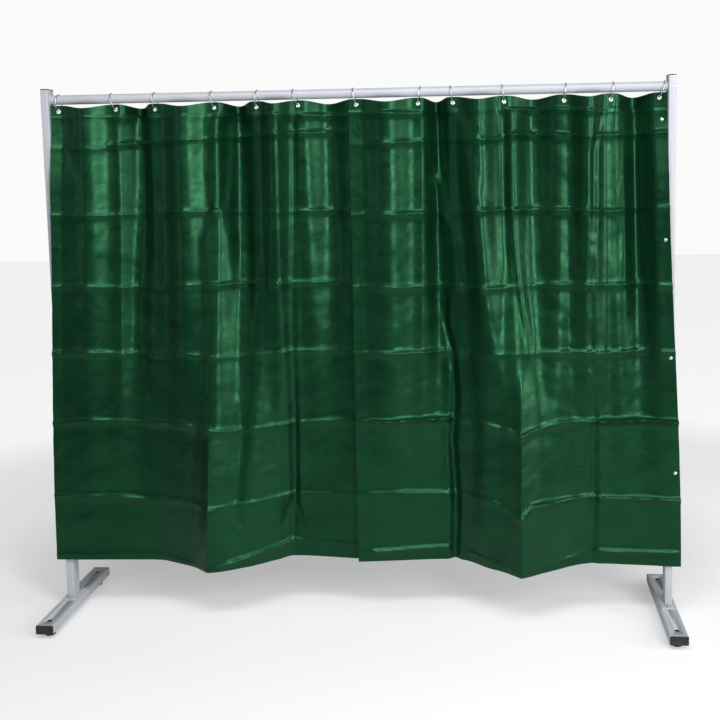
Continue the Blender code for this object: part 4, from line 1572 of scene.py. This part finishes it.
RIGHT_PUCKERS = (
    Pucker((0.014, 1.704), (0.0238, 0.0085), 45, 0.004),
    Pucker((0.001, 1.321), (0.0238, 0.0085), 50, 0.004),
    Pucker((-0.003, 1.158), (0.0238, 0.0085), 40, 0.005),
    Pucker((-0.003, 0.874), (0.0238, 0.0085), 50, 0.004),
    Pucker((-0.014, 0.575), (0.0238, 0.0085), 45, 0.004),
    Pucker((-0.016, 0.343), (0.0238, 0.0085), 50, 0.003),
    Pucker((0.263, 1.586), (0.0136, 0.0306), 80, 0.004),
    Pucker((0.323, 0.856), (0.017, 0.0102), 0, 0.008),
    Pucker((0.336, 0.531), (0.017, 0.0102), 20, 0.008),
    Pucker((0.323, 0.346), (0.017, 0.0102), -20, 0.008),
    Pucker((0.313, 0.665), (0.0204, 0.0102), 20, 0.006),
    Pucker((0.809, 0.589), (0.017, 0.0102), 10, 0.006),
    Pucker((0.789, 1.05), (0.017, 0.0102), -20, 0.005),
    Pucker((0.802, 1.511), (0.017, 0.0102), 20, 0.005),
    Pucker((0.3, 1.395), (0.0136, 0.0238), 85, 0.008),
    Pucker((0.424, 1.695), (0.0238, 0.0136), 20, 0.006),
    Pucker((0.796, 1.315), (0.0102, 0.017), 90, 0.007),
    Pucker((0.786, 0.859), (0.0102, 0.0136), 90, 0.007),
    Pucker((0.755, 0.522), (0.0476, 0.0136), -10, 0.005),
    Pucker((0.421, 0.514), (0.0306, 0.0136), 5, 0.005),
    Pucker((0.305, 0.538), (0.0306, 0.0136), 0, 0.005),
    Pucker((0.758, 0.329), (0.0272, 0.0136), 0, 0.003),
    Pucker((0.319, 1.053), (0.0136, 0.017), 90, 0.008),
    Pucker((1.014, 1.474), (0.0204, 0.0136), 30, 0.004),
    Pucker((0.114, 1.012), (0.068, 0.034), 4, 0.003),
    Pucker((0.672, 1.043), (0.0612, 0.0306), -6, 0.003),
    Pucker((0.956, 0.803), (0.0612, 0.0306), 5, 0.003),
    Pucker((0.157, 0.576), (0.068, 0.0306), 3, 0.003),
)

LEFT_SHEET = dict(
    slack_shares=(0.071, 0.275, 0.060, 0.252, 0.255, 0.087), bulges=(-1, 1, -1, 1, -1, 1),
    hem_folds=((0, -0.032), (0.33, -0.025), (0.54, -0.120), (0.76, 0.030), (1, 0.006)),
    folds=LEFT_FOLDS, creases=LEFT_CREASES, puckers=LEFT_PUCKERS)
RIGHT_SHEET = dict(
    slack_shares=(0.048, 0.314, 0.159, 0.078, 0.208, 0.193), bulges=(-1, 1, -1, 1, -1, 1),
    hem_folds=((0, -0.020), (0.30, 0.014), (0.51, -0.125), (0.73, -0.012), (1, -0.032)),
    folds=RIGHT_FOLDS, creases=RIGHT_CREASES, puckers=RIGHT_PUCKERS)


# ---- studio

@dataclass(frozen=True)
class SoftLight:
    """A rectangular soft light."""

    name: str
    place: Point
    aim: Point
    size: tuple
    power: float    # watts

    def build(self) -> None:
        """Hangs the light in its place, facing its aim."""
        lamp = bpy.data.lights.new(self.name, "AREA")
        lamp.shape, lamp.energy = "RECTANGLE", self.power
        lamp.size, lamp.size_y = self.size
        item = bpy.data.objects.new(self.name, lamp)
        bpy.context.scene.collection.objects.link(item)
        away = np.array(self.place) - np.array(self.aim)
        turn = Matrix(facing(away / np.linalg.norm(away)).tolist())
        item.matrix_world = Matrix.Translation(self.place) @ turn.to_4x4()
        LOG.info("%s: %g W", self.name, self.power)


LIGHTS = (
    SoftLight("tall_right", (2.3, -3.4, 2.15), (0.1, 0.0, 1.2), (1.3, 2.5), 88),
    SoftLight("side_right", (6.0, -1.9, 2.2), (0.0, 0.0, 1.3), (2.0, 3.4), 125),
    SoftLight("front", (-0.5, -4.2, 2.75), (0.0, 0.0, 1.2), (2.4, 1.2), 15),
    SoftLight("tall_left", (-3.3, -1.8, 1.9), (-0.4, 0.0, 1.1), (0.5, 2.4), 4),
    SoftLight("overhead", (0.2, -2.3, 3.8), (0.0, 0.0, 1.4), (3.2, 0.9), 74),
)


@dataclass
class Studio:
    """Plain pale floor, pale surroundings, soft lights and the camera."""

    camera_place: Point = (0.4711, -3.3693, 1.5611)
    lens: float = 49.94
    sensor: float = 36.0
    shift: tuple = (-0.0846, -0.1264)
    tilts: tuple = (0.1011, -0.0173, -0.0722)
    fill: float = 0.18
    backdrop: float = 0.96
    floor_reach: float = 14.0
    # Floor colour near the middle and far from it: the darker far colour is painted shade, which the sheets
    # reflect as a dim studio.
    near_floor: tuple = (0.80, 0.80, 0.81)
    far_floor: tuple = (0.30, 0.30, 0.305)
    near_glow: float = 0.30
    far_glow: float = 0.80
    fade: tuple = (1.3, 3.2)    # from near to far, in metres from the middle
    floor_roughness: float = 0.75

    def build(self) -> None:
        """Builds the floor, the surroundings, the lights and the camera."""
        self.build_floor()
        for lamp in LIGHTS:
            lamp.build()
        self.build_surround()
        self.build_camera()

    def build_floor(self) -> None:
        """A wide flat floor that meets the pale surroundings, and glows for the camera alone: its colour is
        painted shade, darker away from the middle, and its glow is painted light that keeps it pale to the
        camera.
        """
        square = np.array([(-1, -1, 0), (1, -1, 0), (1, 1, 0), (-1, 1, 0)]) * self.floor_reach
        mesh = bpy.data.meshes.new("studio_floor")
        mesh.from_pydata(square.tolist(), [], [(0, 1, 2, 3)])
        floor = bpy.data.objects.new("studio_floor", mesh)
        bpy.context.scene.collection.objects.link(floor)
        nodes = Nodes("studio_floor")
        middle = nodes.add("ShaderNodeVectorMath", operation="LENGTH")
        nodes.link(nodes.place(), middle.inputs[0])
        far = nodes.spread(middle.outputs["Value"], 0.0, 1.0, *self.fade)
        # Colour painted darker away from the middle as shade.
        nodes.link(nodes.ramp(far, self.near_floor, self.far_floor),
                   nodes.shader.inputs["Base Color"])
        nodes.shader.inputs["Roughness"].default_value = self.floor_roughness
        seen = nodes.add("ShaderNodeLightPath")
        glow = nodes.spread(far, self.near_glow, self.far_glow, 0.0, 1.0)
        shown = nodes.add("ShaderNodeMath", operation="MULTIPLY")
        nodes.link(glow, shown.inputs[0])
        nodes.link(seen.outputs["Is Camera Ray"], shown.inputs[1])
        nodes.link(shown.outputs["Value"], nodes.shader.inputs["Emission Strength"])
        nodes.shader.inputs["Emission Color"].default_value = (1.0, 1.0, 1.0, 1.0)
        mesh.materials.append(nodes.material)

    def build_surround(self) -> None:
        """Even pale surroundings, which light the screen less than they show."""
        world = bpy.data.worlds.new("studio")
        bpy.context.scene.world = world
        world.use_nodes = True
        tree = world.node_tree
        surround = tree.nodes["Background"]
        surround.inputs["Color"].default_value = (1.0, 1.0, 1.0, 1.0)
        seen = tree.nodes.new("ShaderNodeLightPath")
        level = tree.nodes.new("ShaderNodeMapRange")
        level.inputs["To Min"].default_value = self.fill
        level.inputs["To Max"].default_value = self.backdrop
        tree.links.new(seen.outputs["Is Camera Ray"], level.inputs["Value"])
        tree.links.new(level.outputs["Result"], surround.inputs["Strength"])
        bpy.context.scene.view_settings.view_transform = "Standard"

    def build_camera(self) -> None:
        """The camera, turned by its three tilts and shifted to frame the screen."""
        tip, roll, pan = (Matrix.Rotation(angle, 3, axis) for angle, axis in zip(self.tilts, "XYZ"))
        turn = tip @ roll @ pan
        right, forward, up = (turn[row].copy() for row in range(3))
        pose = Matrix((right, up, -forward)).transposed().to_4x4()
        pose.translation = self.camera_place
        lens = bpy.data.cameras.new("camera")
        lens.lens, lens.sensor_width = self.lens, self.sensor
        lens.shift_x, lens.shift_y = self.shift
        camera = bpy.data.objects.new("camera", lens)
        bpy.context.scene.collection.objects.link(camera)
        camera.matrix_world = pose
        bpy.context.scene.camera = camera


def main() -> None:
    """Builds the screen and the studio in order."""
    logging.basicConfig(level=logging.INFO, format="%(name)s %(message)s")
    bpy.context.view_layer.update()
    Studio().build()
    maker = Maker(Finishes.make())
    for side in Side:
        Stand(side, maker).build()
    Rail(maker).build()
    rings, eyelets = Rings(maker), Eyelets(maker)
    rings.build("centre_ring", "frame")
    for side in Side:
        for order in range(1, 7):
            body = f"{side.word}_ring_{order}"
            rings.build(body, body)
            eyelets.build(f"{side.word}_eyelet_{order}", body)
        eyelets.build(f"{side.word}_eyelet_7", "frame")
    Curtain(Side.LEFT, maker, **LEFT_SHEET).build()
    Curtain(Side.RIGHT, maker, **RIGHT_SHEET).build()


if __name__ == "__main__":
    main()
